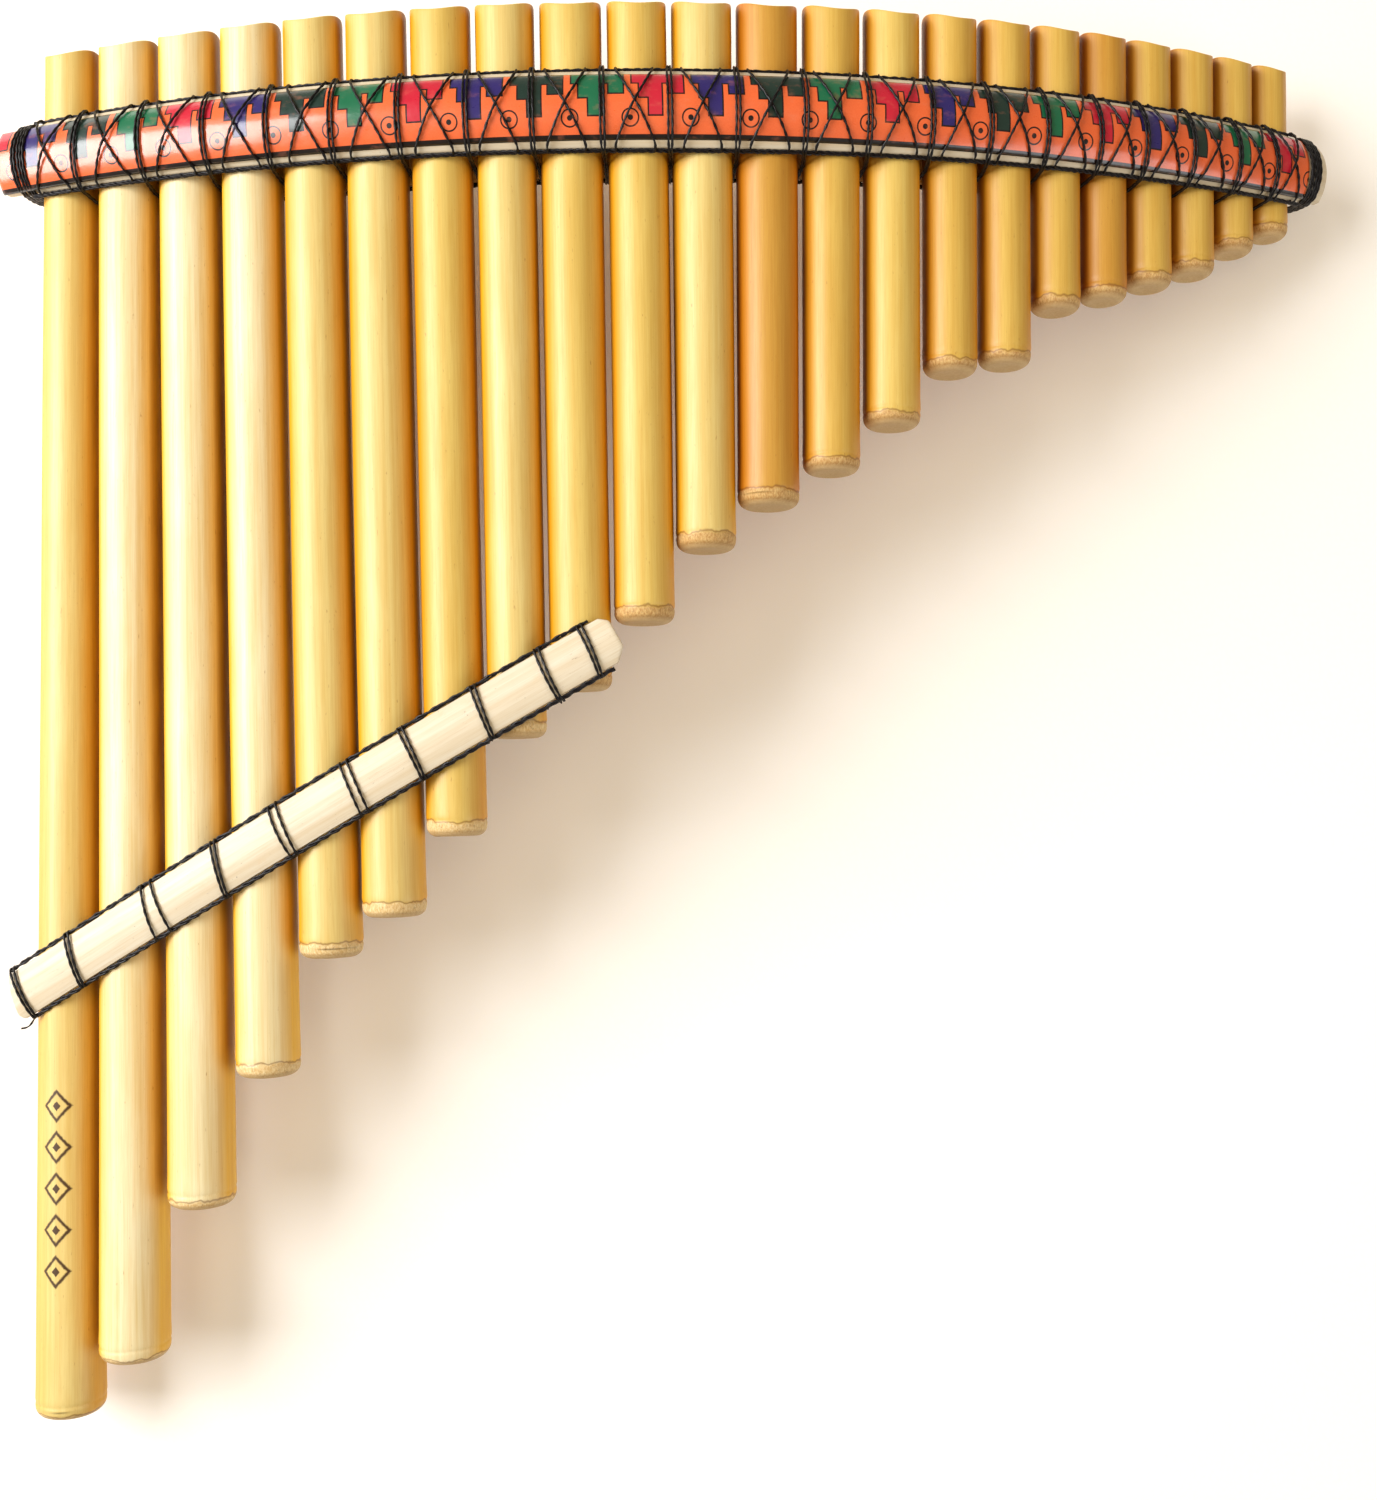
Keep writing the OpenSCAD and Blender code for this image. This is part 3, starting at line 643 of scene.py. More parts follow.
def pipe_piece(i):
    rng = np.random.default_rng(100 + i)
    foot_r, mouth_r, bore_r = FOOT_DIA[i] / 2, MOUTH_DIA[i] / 2, bore_radius(i)
    long = PIPE_LENGTH[i]
    turn = np.linspace(0, 2 * math.pi, SIDES, endpoint=False)
    cos, sin = np.cos(turn), np.sin(turn)
    oval, twist = rng.uniform(0.03, 0.07), rng.uniform(0, math.pi)
    rows = []

    def add(radius, z):
        radius, z = np.broadcast_arrays(radius, z)
        z = np.broadcast_to(z, (SIDES,))
        wave = oval * np.cos(2 * (turn - twist)) * smooth_noise(z / 40 + i, 7 + i, 2)
        wave = wave * np.clip(radius / mouth_r, 0, 1)
        rows.append(np.stack([(radius + wave) * cos, (radius + wave) * sin, z], -1))

    # Foot: a sanded disc, a rounded edge, and the scar of the node
    flat = foot_r - FOOT_ROUND
    for share in (0.25, 0.5, 0.75, 0.92):
        dip = 0.28 * (1 - share ** 2) + 0.05 * smooth_noise(turn * 2, 40 + i)
        add(flat * share, dip)
    for k in range(9):
        a = math.radians(-90 + 90 * k / 8)
        soft = 0.06 * smooth_noise(turn * 1.5 + k * 0.6, 60 + i)
        add(flat + FOOT_ROUND * math.cos(a) - abs(soft), FOOT_ROUND * (1 + math.sin(a)) + 0.02)
    uneven = 0.35 * smooth_noise(turn, 80 + i)
    for z, swell in ((2.6, 0.02), (2.9, 0.03), (3.2, 0.0), (3.5, -0.09), (3.8, -0.01),
                     (4.3, 0.08), (5.2, 0.07), (7.0, 0.02)):
        add(foot_r + (mouth_r - foot_r) * z / long + swell, z + uneven)
    count = max(3, int((long - BLEND - 10) / 5))
    for z in np.linspace(10, long - BLEND, count):
        add(foot_r + (mouth_r - foot_r) * z / long + 0.02 * math.sin(z / 17 + i), z)
    # Lip: shoulders at the sides, a finer edge at the front and back
    shoulder = LIP_OUTER + (LIP_SHOULDER - LIP_OUTER) * np.abs(cos) ** 3
    top = saddle(i, mouth_r * cos)
    for d in (9, 6.5, 4.5, 3, 2, 1.3):
        drop = np.maximum(d, shoulder * 1.02)
        add(mouth_r, long - drop + (top - long) * (1 - drop / BLEND))
    for k in range(7):
        a = math.pi / 2 * k / 6
        radius = mouth_r - shoulder * (1 - math.cos(a))
        add(radius, saddle(i, radius * cos) - shoulder * (1 - math.sin(a)))
    for k in range(4):
        a = math.pi / 2 * k / 3
        radius = bore_r + LIP_INNER * (1 - math.sin(a))
        add(radius, saddle(i, radius * cos) - LIP_INNER * (1 - math.cos(a)))
    # Bore down to the ledge, then the narrower bore that holds the plug
    rim = saddle(i, bore_r * cos) - LIP_INNER
    floor = plug_top(i)
    for share in (0.97, 0.9, 0.75, 0.5, 0.25, 0.0):
        add(bore_r, floor + (rim - floor) * share)
    add(bore_r - LEDGE, floor)
    add(bore_r - LEDGE, FOOT_NODE)
    rows = np.stack(rows)
    if long > 140:  # cane is never quite straight
        bow = rng.uniform(-0.25, 0.25)
        rows[..., 0] += bow * np.sin(np.pi * np.clip(rows[..., 2] / long, 0, 1))
    points = np.concatenate([rows.reshape(-1, 3), [[0, 0, 0.32], [0, 0, FOOT_NODE]]])
    quads = grid_faces(len(rows), SIDES, True)
    ring = np.arange(SIDES)
    last = (len(rows) - 1) * SIDES
    pole = len(points) - 2
    fan = [(pole, (c + 1) % SIDES, c) for c in ring]
    fan += [(pole + 1, last + c, last + (c + 1) % SIDES) for c in ring]
    piece = make_mesh(f"cane_pipe_{i + 1:02d}", points, [*quads.tolist(), *fan],
                      MAT_CANE[i])
    matrix = on_pipe(i)
    matrix.translation *= MM
    piece.matrix_world = matrix
    finish_piece(piece, f"pipe_{i + 1:02d}")


for index in range(PIPES):
    pipe_piece(index)
    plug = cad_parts[f"plug_{index + 1:02d}"]
    plug.data.materials.clear()
    plug.data.materials.append(MAT_CORK)

# ---- slats


def slat_piece(name, strip, turns, section, material, node, ends, bottom=None, seed=0, taper=0.0):
    """A domed slat. ends are two functions of the share across (-1 to 1): mm cut off each end."""
    width, crown, edge = section
    dome = dome_radius(width, crown - edge)
    half = width / 2
    across = half * np.sin(np.linspace(-1, 1, 31) * math.pi / 2)
    over = crown - dome + np.sqrt(dome ** 2 - across ** 2)
    soft = 0.28
    low = np.linspace(half - soft, -half + soft, 9)
    # Section: over the dome, round the edge, back under
    section_y = np.concatenate([across[1:-1], [half, half], low, [-half, -half]])
    section_h = np.concatenate([over[1:-1], [edge - soft, soft], 0 * low, [soft, edge - soft]])
    share_up = np.clip(section_h / edge, 0, 1)
    run = (turns[1] - turns[0]) * strip.radius
    stops = np.concatenate([[0, 0.0, 0.12, 0.45, 1.1], np.arange(2.5, run - 2.4, 2.5),
                            run - np.array([1.1, 0.45, 0.12, 0.0, 0])])
    inset = np.zeros(len(stops))
    for k, value in enumerate((0.62, 0.35, 0.16, 0.04, 0.0)):
        inset[k] = inset[-1 - k] = value
    share_y = section_y / half
    cut0, cut1 = ends[0](share_y), ends[1](share_y)
    s = (stops[:, None] + cut0[None] * np.clip(1 - stops / 12, 0, 1)[:, None]
         - cut1[None] * np.clip(1 - (run - stops) / 12, 0, 1)[:, None])
    y = section_y[None] * (1 - inset[:, None] / half)
    near = np.clip(1 - np.minimum(stops, run - stops) / TAPER_LONG, 0, 1)
    y = y * (1 - taper * near * near * (3 - 2 * near))[:, None]
    if strip is FRONT_HEAD:
        y = drawn_in(turns[0] + s / strip.radius, y)
    base = bottom(s, y) if bottom else np.full_like(s, SLIT)
    middle = edge * 0.45
    h = section_h[None] + (middle - section_h[None]) * (inset[:, None] / max(crown, 1)) * 1.6
    h = np.where(section_h[None] < edge * 0.5, np.maximum(h, base + inset[:, None] * 0.5), h)
    wave = 0.05 * smooth_noise(s / 9 + y / 7, 300 + seed) * share_up[None]
    points = strip.points(turns[0] + s / strip.radius, y, h + wave)
    rows, columns = points.shape[:2]
    flip = strip.out > 0
    faces = grid_faces(rows, columns, True, flip=flip).tolist()
    first = list(range(columns))
    last = [(rows - 1) * columns + c for c in range(columns)]
    faces += [first if flip else first[::-1], last[::-1] if flip else last]
    uv = np.stack([s, np.broadcast_to(np.concatenate(
        [[0], np.cumsum(np.hypot(np.diff(section_y), np.diff(section_h)))])[None], s.shape)], -1)
    piece = make_mesh(name, points.reshape(-1, 3), faces, material, uv.reshape(-1, 2) + seed * 37)
    finish_piece(piece, node)


def plain_end(share):
    return 0.35 * np.abs(share) ** 6


def brace_bottom(out):
    """The underside follows the pipes, which the slat crosses at a slope."""
    def height(s, y):
        along = s - BRACE_LENGTH / 2
        lift = (along * y * math.sin(BRACE_SLOPE) * math.cos(BRACE_SLOPE)
                - (y * math.sin(BRACE_SLOPE)) ** 2 / 2) / ARC
        return SLIT + out * lift
    return height


def brace_right_end(share):
    return 1.7 * np.clip((share - 0.72) / 0.28, 0, 1) + 2.6 * np.clip((-share - 0.55) / 0.45, 0, 1)


def rear_right_end(share):
    return 3.0 + brace_right_end(share)


def brace_left_end(share):
    return 1.2 * (1 + share) + 1.2 * np.clip((-share - 0.65) / 0.35, 0, 1) ** 2 - 0.6


half_turn = BRACE_LENGTH / 2 / BRACE_ARC
slat_piece("front_head_strip", FRONT_HEAD, (math.radians(HEAD_LEFT), math.radians(HEAD_RIGHT)),
           HEAD_SECTION, MAT_SLAT, "front_head_slat", (plain_end, plain_end),
           seed=1, taper=FRONT_TAPER)
slat_piece("rear_head_strip", REAR_HEAD, (rear_turn(HEAD_LEFT), rear_turn(HEAD_RIGHT)),
           HEAD_SECTION, MAT_REAR_SLAT, "rear_head_slat", (plain_end, plain_end),
           seed=2, taper=REAR_TAPER)
slat_piece("front_brace_strip", FRONT_BRACE, (-half_turn, half_turn), BRACE_SECTION,
           MAT_SLAT, "front_brace_slat", (brace_left_end, brace_right_end), brace_bottom(1), 3)
slat_piece("rear_brace_strip", REAR_BRACE, (-half_turn, half_turn), BRACE_SECTION,
           MAT_REAR_SLAT, "rear_brace_slat", (brace_left_end, rear_right_end), brace_bottom(-1), 4)

# ---- ribbon


def ribbon_piece():
    """A thin band over the dome, with its print placed by the along map."""
    dome = dome_radius(HEAD_WIDTH, HEAD_CROWN - HEAD_EDGE)
    reach = math.asin(RIBBON_WIDTH / 2 / dome)
    lean = np.linspace(reach, -reach, 33)
    turns = np.radians(np.arange(HEAD_LEFT + 0.02, HEAD_RIGHT - 0.9, 0.09))
    grid_turn, grid_lean = np.meshgrid(turns, lean, indexing="ij")
    swell = 0.05 + 0.035 * smooth_noise(grid_turn * 90 + grid_lean * 2.2, 500)
    edge = np.clip((reach - np.abs(grid_lean)) / 0.03, 0, 1)
    lift = RIBBON_THICK * edge + (swell - 0.05) * edge + 0.02
    centre = HEAD_CROWN - dome
    top = FRONT_HEAD.points(grid_turn, (dome + lift) * np.sin(grid_lean),
                            SLIT + centre + (dome + lift) * np.cos(grid_lean))
    under = FRONT_HEAD.points(grid_turn, dome * np.sin(grid_lean),
                              SLIT + centre + dome * np.cos(grid_lean))
    rows, columns = top.shape[:2]
    points = np.concatenate([top.reshape(-1, 3), under.reshape(-1, 3)])
    size = rows * columns
    faces = grid_faces(rows, columns, False).tolist()
    faces += grid_faces(rows, columns, False, offset=size, flip=True).tolist()
    border = list(range(columns))
    border += [r * columns + columns - 1 for r in range(1, rows)]
    border += [(rows - 1) * columns + c for c in range(columns - 2, -1, -1)]
    border += [r * columns for r in range(rows - 2, 0, -1)]
    for a, b in zip(border, border[1:] + border[:1]):
        faces.append((b, a, a + size, b + size))
    along = grid_turn * (ARC + HEAD_CROWN) - PATTERN_START
    down = (reach - grid_lean) * dome
    uv = np.stack([along, down], -1).reshape(-1, 2)
    piece = make_mesh("ribbon_band", points, faces, MAT_RIBBON, np.concatenate([uv, uv]))
    finish_piece(piece, "printed_ribbon")


ribbon_piece()

# ---- threads

PLY_PITCH = 2.3
RING_STEP = 0.42
TUBE_SIDES = 8
THREAD_PITCH = 0.8
HEAD_TOP = HEAD_CROWN + RIBBON_THICK + THREAD_R + 0.1


def resample(path, closed):
    """Evenly spaced points along a path, rounded at its corners."""
    if closed:
        path = np.vstack([path, path[:1]])
    steps = np.linalg.norm(np.diff(path, axis=0), axis=1)
    reach = np.concatenate([[0], np.cumsum(steps)])
    count = max(4, int(round(reach[-1] / RING_STEP)))
    at = np.linspace(0, reach[-1], count + 1)
    points = np.stack([np.interp(at, reach, path[:, k]) for k in range(3)], -1)
    if closed:
        points = points[:-1]
    for _ in range(3):
        if closed:
            points = (np.roll(points, 1, 0) + 2 * points + np.roll(points, -1, 0)) / 4
        else:
            points[1:-1] = (points[:-2] + 2 * points[1:-1] + points[2:]) / 4
    return points


class Tubes:
    """Gathers twisted threads into one mesh."""

    def __init__(self):
        self.points, self.faces, self.uv, self.count = [], [], [], 0

    def add(self, path, radius, closed=False, phase=0.0):
        points = resample(path, closed)
        n = len(points)
        if closed:
            tangent = np.roll(points, -1, 0) - np.roll(points, 1, 0)
        else:
            tangent = np.gradient(points, axis=0)
        tangent /= np.linalg.norm(tangent, axis=1)[:, None]
        normal = np.zeros_like(points)
        start = np.cross(tangent[0], (0.31, 0.17, 0.93))
        normal[0] = start / np.linalg.norm(start)
        for k in range(1, n):
            side = normal[k - 1] - tangent[k] * (normal[k - 1] @ tangent[k])
            normal[k] = side / np.linalg.norm(side)
        binormal = np.cross(tangent, normal)
        steps = np.linalg.norm(np.diff(points, axis=0), axis=1)
        reach = np.concatenate([[0], np.cumsum(steps)])
        total = reach[-1] + (np.linalg.norm(points[0] - points[-1]) if closed else 0)
        lay = math.pi / PLY_PITCH
        drift = np.zeros(n)
        if closed:  # come back to the starting angle
            last = normal[-1] - tangent[0] * (normal[-1] @ tangent[0])
            off = math.atan2(last @ binormal[0], last @ normal[0])
            lay = max(1, round(lay * total / math.pi)) * math.pi / total
            drift = -off * reach / total
        angle = np.linspace(0, 2 * math.pi, TUBE_SIDES, endpoint=False)
        spin = lay * reach[:, None] + phase
        theta = angle[None] + drift[:, None]
        shape = radius * (0.83 + 0.21 * np.cos(2 * (angle[None] - spin)))
        ring = (points[:, None] + shape[..., None]
                * (np.cos(theta)[..., None] * normal[:, None]
                   + np.sin(theta)[..., None] * binormal[:, None]))
        self.points.append(ring.reshape(-1, 3))
        self.faces += grid_faces(n, TUBE_SIDES, True, closed, self.count).tolist()
        if not closed:
            first = [self.count + c for c in range(TUBE_SIDES)]
            end = [self.count + (n - 1) * TUBE_SIDES + c for c in range(TUBE_SIDES)]
            self.faces += [first[::-1], end]
        along = np.broadcast_to(reach[:, None] + 17.3 * len(self.uv), theta.shape)
        self.uv.append(np.stack([along, np.broadcast_to(angle[None] * radius, theta.shape)],
                                -1).reshape(-1, 2))
        self.count += n * TUBE_SIDES

    def piece(self, name, material, node):
        made = make_mesh(name, np.concatenate(self.points), self.faces, material,
                         np.concatenate(self.uv))
        finish_piece(made, node)


def place(matrix, points):
    grid = np.array(matrix)
    return points @ grid[:3, :3].T + grid[:3, 3]


def over_dome(half, top, end, count=25):
    """(across, height) points of a thread over a dome, from the top edge to the bottom edge."""
    bend = dome_radius(2 * half, top - end)
    lean = np.linspace(1, -1, count) * math.asin(half / bend)
    return bend * np.sin(lean), top - bend + bend * np.cos(lean)


def round_both(angle, x_front, x_gap, half, top, end, moved=(0.0, 0.0), narrow=1.0):
    """A closed turn of thread round both head slats. moved shifts its top and bottom in front."""
    back = rear_reach(angle) - ARC
    y, z = over_dome(half, top, end)
    share = np.linspace(-1, 1, len(y))
    pull = drawn_in(math.radians(angle), y) - y
    x = x_front + (x_gap - x_front) * np.abs(share) ** 8
    lean = moved[0] * (1 - share) / 2 + moved[1] * (1 + share) / 2
    front = np.stack([x + lean, y + pull, z], -1)
    run = np.linspace(end, back - end, 17)[1:-1]
    fade = np.clip((run + 5) / (end + 5), 0, 1) ** 1.2
    deep = np.linspace(0, 1, 17)[1:-1]
    sides = half * (1 + (narrow - 1) * deep)
    down = np.stack([x_gap + moved[1] * fade, pull[-1] * (1 - deep) - sides, run], -1)
    rear = np.stack([x[::-1], y[::-1] * narrow, back - z[::-1]], -1)
    up = np.stack([x_gap + moved[0] * fade[::-1], sides[::-1], run[::-1]], -1)
    return place(on_arc(angle, HEAD_DROP), np.concatenate([front, down, rear, up]))


# How far each wrap sits from its gap at the top and at the bottom of the band, in mm
WRAP_MOVED = [(2.0, 0.7), (2.0, 1.6), (1.6, 1.5), (1.0, 0.6), (0.8, 0.1), (0.2, 0.0), (0.0, 0.0),
              (-0.4, -0.4), (-0.4, -0.4), (-0.5, -0.5), (-0.6, -0.6), (-1.0, -1.0),
              (-1.3, -1.2), (-1.4, -1.3), (-1.7, -1.3), (-1.4, -0.9), (-0.9, -0.2),
              (-1.4, -0.6), (-1.0, -0.2), (-0.2, 0.3), (-1.0, -0.2)]
# How far each crossing sits from the middle of its pipe
CROSS_MOVED = [2.0, 2.4, 2.4, 2.4, 2.4, 1.6, 0.8, 0.0, 0.0, 0.0, 0.0,
               -0.3, -0.5, -0.6, -0.8, -0.8] + [0.0] * 6


rng = np.random.default_rng(4)  # the lashings draw from it in a fixed order


def head_wraps():
    wraps = Tubes()
    for i in range(PIPES - 1):
        for side in (-1, 1):
            spread = 0.42 + rng.uniform(-0.03, 0.10)
            turn = round_both(gap_angle(i, HEAD_DROP), side * spread, side * 0.25,
                              10.0, HEAD_TOP + rng.uniform(0, 0.08), 1.3, WRAP_MOVED[i])
            wraps.add(turn, 0.33, True, rng.uniform(0, 3))
    wraps.piece("head_wrap_threads", MAT_THREAD, "head_wraps")


def head_crossings():
    cross = Tubes()
    for i in range(PIPES):
        cell = (MOUTH_DIA[i] + PIPE_GAP[min(i, PIPES - 2)]) / 14.8
        angle = angle_at(i, HEAD_DROP)
        for side, lift in ((1, 0.12), (-1, 0.5)):
            y, z = over_dome(8.75, HEAD_TOP, 2.1)
            share = np.linspace(1, -1, len(y))
            z = z + lift * np.exp(-(share / 0.35) ** 2)
            slant = 4.35 * cell * share + 0.25 * np.sin(math.pi * share)
            x = CROSS_MOVED[i] - 0.8 * cell - side * slant + rng.uniform(-0.25, 0.25)
            y = np.concatenate([[8.2, 9.3, 9.75], y, [-9.75, -9.3, -8.2]])
            y = drawn_in(math.radians(angle), y)
            z = np.concatenate([[0.6, 0.2, 0.9], z, [0.9, 0.2, 0.6]])
            x = np.concatenate([x[0] + side * np.array([0.5, 0.4, 0.2]), x,
                                x[-1] - side * np.array([0.2, 0.4, 0.5])])
            cross.add(place(on_arc(angle, HEAD_DROP), np.stack([x, y, z], -1)),
                      0.34, False, rng.uniform(0, 3))
    cross.piece("head_cross_threads", MAT_THREAD, "head_cross_lacing")


def cord_strands(tubes, strip, turns, across, height, strands, spread, pitch, dips, radius):
    """Strands laid round each other along the edge of a slat, drawn in at the dips."""
    run = (turns[1] - turns[0]) * strip.radius
    s = np.arange(0, run, 0.8)
    pull = sum(np.exp(-((s - d) / 1.3) ** 2) for d in dips)
    for k in range(strands):
        a = 2 * math.pi * (s / pitch + k / strands)
        wobble = 0.06 * smooth_noise(s / 3, 900 + k)
        y = across + spread * np.cos(a) + wobble
        if strip is FRONT_HEAD:
            y = drawn_in(turns[0] + s / strip.radius, y)
        h = height + 0.7 * spread * np.sin(a) - 0.22 * pull
        tubes.add(strip.points(turns[0] + s / strip.radius, y, h), radius, False, k)


def head_cords():
    cords = Tubes()
    ends = (PIPE_ANGLE[0] - 0.8, PIPE_ANGLE[-1] + 0.5)
    for strip, turn_of in ((FRONT_HEAD, math.radians), (REAR_HEAD, rear_turn)):
        span = (turn_of(ends[0]), turn_of(ends[1]))
        dips = [(turn_of(gap_angle(i, HEAD_DROP)) - span[0]) * strip.radius
                for i in range(PIPES - 1)]
        cord_strands(cords, strip, span, 9.35, 0.62, 2, 0.22, 4.6, dips, 0.27)
        cord_strands(cords, strip, span, -9.45, 0.75, 3, 0.40, 5.2, dips, 0.30)
    cords.piece("head_edge_threads", MAT_CORD, "head_edge_cords")


def whipping(name, i, sign):
    """Turns round both head slats, just beyond pipe i at the left (-1) or right (1) end."""
    start = PIPE_ANGLE[i] + sign * degrees_of(MOUTH_DIA[i] / 2 + 0.55, ARC - PIPE_AXIS)
    turns = Tubes()
    for index in range(WHIPPING_TURNS):
        angle = start + sign * degrees_of(index * THREAD_PITCH, ARC - BAND_MIDDLE)
        lean = -sign * 1.8 + rng.uniform(-0.12, 0.12)
        turn = round_both(angle, rng.uniform(-0.05, 0.05), 0, 8.85,
                          HEAD_TOP + rng.uniform(-0.04, 0.06), 0.95,
                          (lean, lean + rng.uniform(-0.2, 0.2)), 0.66)
        turns.add(turn, 0.38, True, rng.uniform(0, 3))
    turns.piece(f"{name}_whipping_threads", MAT_THREAD, f"{name}_whipping")


head_wraps()
head_crossings()
head_cords()
whipping("left", 0, -1)
whipping("right", PIPES - 1, 1)

# (place along the slat, turns, how much further along its lower end is) in mm
BRACE_WRAPS = [(3.9, 2, -0.4), (21.3, 2, -2.6), (44.0, 1, -2.8), (46.6, 1, -1.2),
               (64.6, 2, -3.3), (80.1, 1, -0.7), (82.0, 1, -1.2), (99.4, 1, -1.2),
               (101.2, 1, -1.1), (115.3, 2, -0.7), (134.2, 2, -1.7), (150.7, 2, -0.9),
               (161.5, 2, -1.3)]
BRACE_SIDE = BRACE_WIDTH / 2 + 0.6
BRACE_CORD_HEIGHT = 0.85


def brace_wraps():
    wraps = Tubes()
    for strip in (FRONT_BRACE, REAR_BRACE):
        for where, turns, offset in BRACE_WRAPS:
            bow = rng.uniform(-0.35, 0.35)
            for turn in range(turns):
                step = turn - (turns - 1) / 2
                y, h = over_dome(6.45, BRACE_CROWN + THREAD_R + 0.1, 1.4)
                share = np.linspace(1, -1, len(y))
                apart = step * (0.72 + 0.42 * (share + 1) / 2 + rng.uniform(0, 0.12))
                s = where + offset * (1 - share) / 2 + apart + bow * (1 - share ** 2)
                y = np.concatenate([[6.1, 6.75], y, [-6.75, -6.1]])
                h = np.concatenate([[0.40, 0.6], h, [0.6, 0.40]])
                s = np.concatenate([[s[0], s[0]], s, [s[-1], s[-1]]])
                wraps.add(strip.points((s - BRACE_LENGTH / 2) / BRACE_ARC, y, h), 0.34,
                          False, rng.uniform(0, 3))
    wraps.piece("brace_wrap_threads", MAT_THREAD, "brace_cross_wraps")


def from_brace(angle):
    """Radians from the middle of the brace."""
    return math.radians(angle - BRACE_ANGLE)


def tie_place(i, edge, radius):
    """Distance along the brace, from its middle, of the gap after pipe i."""
    side = edge * BRACE_SIDE
    drop = (BRACE_DROP - from_brace(gap_angle(i, BRACE_DROP)) * ARC * math.tan(BRACE_SLOPE)
            - side / math.cos(BRACE_SLOPE))
    return ((from_brace(gap_angle(i, drop)) * radius + side * math.sin(BRACE_SLOPE))
            / math.cos(BRACE_SLOPE))


def brace_lashing():
    """Cords along both edges of both slats, the ties between them and one loose end."""
    lashing = Tubes()
    start = 3 - BRACE_LENGTH / 2
    for strip, skin, short, tight in ((FRONT_BRACE, 0, 4, -0.08), (REAR_BRACE, REAR_SKIN, 9, 0.5)):
        span = (start / BRACE_ARC, (BRACE_LENGTH / 2 - short) / BRACE_ARC)
        for edge in (-1, 1):
            dips = [tie_place(i, edge, ARC - skin) - start for i in range(BRACED - 1)]
            cord_strands(lashing, strip, span, edge * (BRACE_SIDE - tight), BRACE_CORD_HEIGHT,
                         2 if edge > 0 else 3, 0.30, 9.0, dips, 0.34)
    share = np.linspace(0, 1, 12)[:, None]
    for edge in (-1, 1):
        across = edge * (BRACE_SIDE + 0.1)
        for i in range(BRACED - 1):
            front = tie_place(i, edge, ARC) / BRACE_ARC
            rear = tie_place(i, edge, ARC - REAR_SKIN) / BRACE_REAR_ARC
            top = FRONT_BRACE.points(front, across, BRACE_CORD_HEIGHT)
            low = REAR_BRACE.points(rear, across, BRACE_CORD_HEIGHT)
            lashing.add(top + (low - top) * share, 0.3, False, i)
    tail_s = np.array([3.6, 2.6, 1.4, 0.4, -0.6, -1.4])
    tail_y = np.array([-6.2, -6.6, -7.1, -7.4, -7.3, -6.9])
    tail_h = np.array([0.9, 0.9, 0.8, 0.75, 0.9, 1.3])
    lashing.add(FRONT_BRACE.points((tail_s - BRACE_LENGTH / 2) / BRACE_ARC, tail_y, tail_h), 0.26)
    lashing.piece("brace_edge_threads", MAT_CORD, "brace_edge_lashing")


brace_wraps()
brace_lashing()

# ---- studio

FLOOR_GAP = 0.2
low_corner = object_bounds()[0]


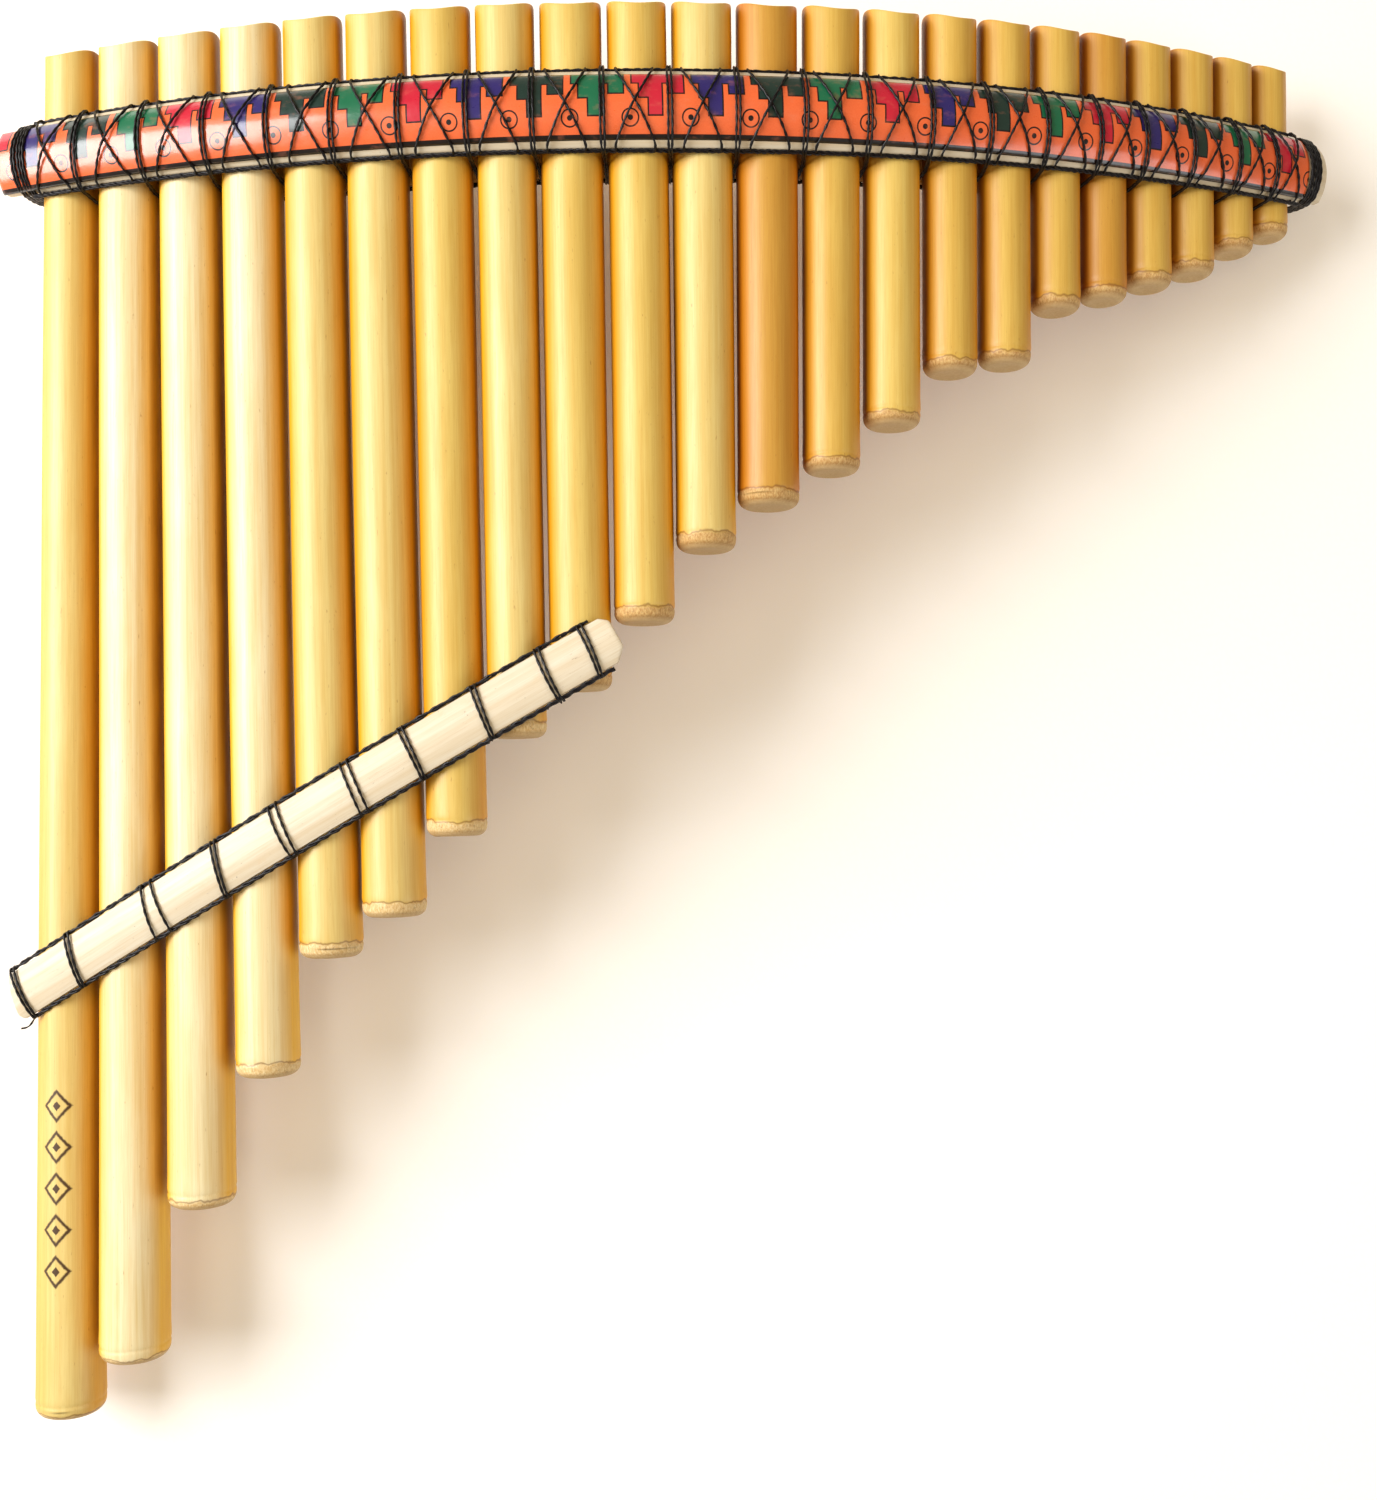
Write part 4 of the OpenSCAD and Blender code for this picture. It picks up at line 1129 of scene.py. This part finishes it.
def floor_sheet():
    """A wide, flat sheet of white paper."""
    span, cells = 3.0, 40
    steps = np.linspace(-span / 2, span / 2, cells + 1) / MM
    x, y = np.meshgrid(steps, steps, indexing="ij")
    z = np.full_like(x, low_corner.z / MM - FLOOR_GAP)
    m = Nodes("floor_paper", Specular_IOR_Level=0.1, Emission_Strength=0.07,
              Emission_Color=(1, 1, 1, 1))
    tooth = m.noise((0.8, 0.8, 0.8), (0, 0, 0), 3.0, 0.6)
    white = m.mix(tooth, srgb(250, 247, 242), srgb(253, 251, 248))
    paper = m.finish(white, 0.9, (tooth, 0.05, 0.05))
    sheet = make_mesh("floor", np.stack([x, y, z], -1).reshape(-1, 3),
                      grid_faces(cells + 1, cells + 1, False), paper)


def area_light(name, stand, aim, size, power, colour):
    """A square light. stand, aim and size are in metres, power in watts."""
    data = bpy.data.lights.new(name, "AREA")
    data.shape = "RECTANGLE"
    data.size = data.size_y = size
    data.energy = power
    data.color = colour
    lamp = bpy.data.objects.new(name, data)
    lamp.location = stand
    lamp.rotation_mode = "QUATERNION"
    lamp.rotation_quaternion = (Vector(aim) - Vector(stand)).to_track_quat("-Z", "Y")
    bpy.context.scene.collection.objects.link(lamp)
    return lamp


COOL, NEUTRAL, WARM = (0.93, 0.96, 1.0), (0.985, 0.99, 1.0), (1.0, 0.80, 0.54)
floor_sheet()
area_light("low_fill", (0.70, -0.35, 0.5), (0.14, 0.05, 0.0), 0.5, 2.3, COOL)
area_light("key", (-0.95, 0.26, 0.68), (0.0, 0.0, 0.03), 0.8, 21.5, NEUTRAL)
overhead = area_light("overhead", (0.0, 0.0, 1.4), (0.0, 0.0, 0.0), 1.3, 7.5, WARM)
overhead.visible_glossy = False
world = bpy.data.worlds.new("studio")
bpy.context.scene.world = world
world.use_nodes = True
background = world.node_tree.nodes["Background"]
background.inputs["Color"].default_value = (1.0, 0.81, 0.55, 1)
background.inputs["Strength"].default_value = 0.2

CAMERA_PLACE = (-27.578, -24.755, 384.787)
CAMERA_TILT, CAMERA_ROLL, CAMERA_SWING = 2.399, -1.263, -4.0123  # degrees
camera_data = bpy.data.cameras.new("camera")
camera_data.lens = camera_data.sensor_width = 36.0
camera = bpy.data.objects.new("camera", camera_data)
camera.matrix_world = (Matrix.Translation(Vector(CAMERA_PLACE) * MM)
                       @ Matrix.Rotation(math.radians(CAMERA_TILT), 4, "X")
                       @ Matrix.Rotation(math.radians(CAMERA_ROLL), 4, "Z")
                       @ Matrix.Rotation(math.radians(CAMERA_SWING), 4, "Y"))
bpy.context.scene.collection.objects.link(camera)
bpy.context.scene.camera = camera
bpy.context.scene.view_settings.view_transform = "Standard"
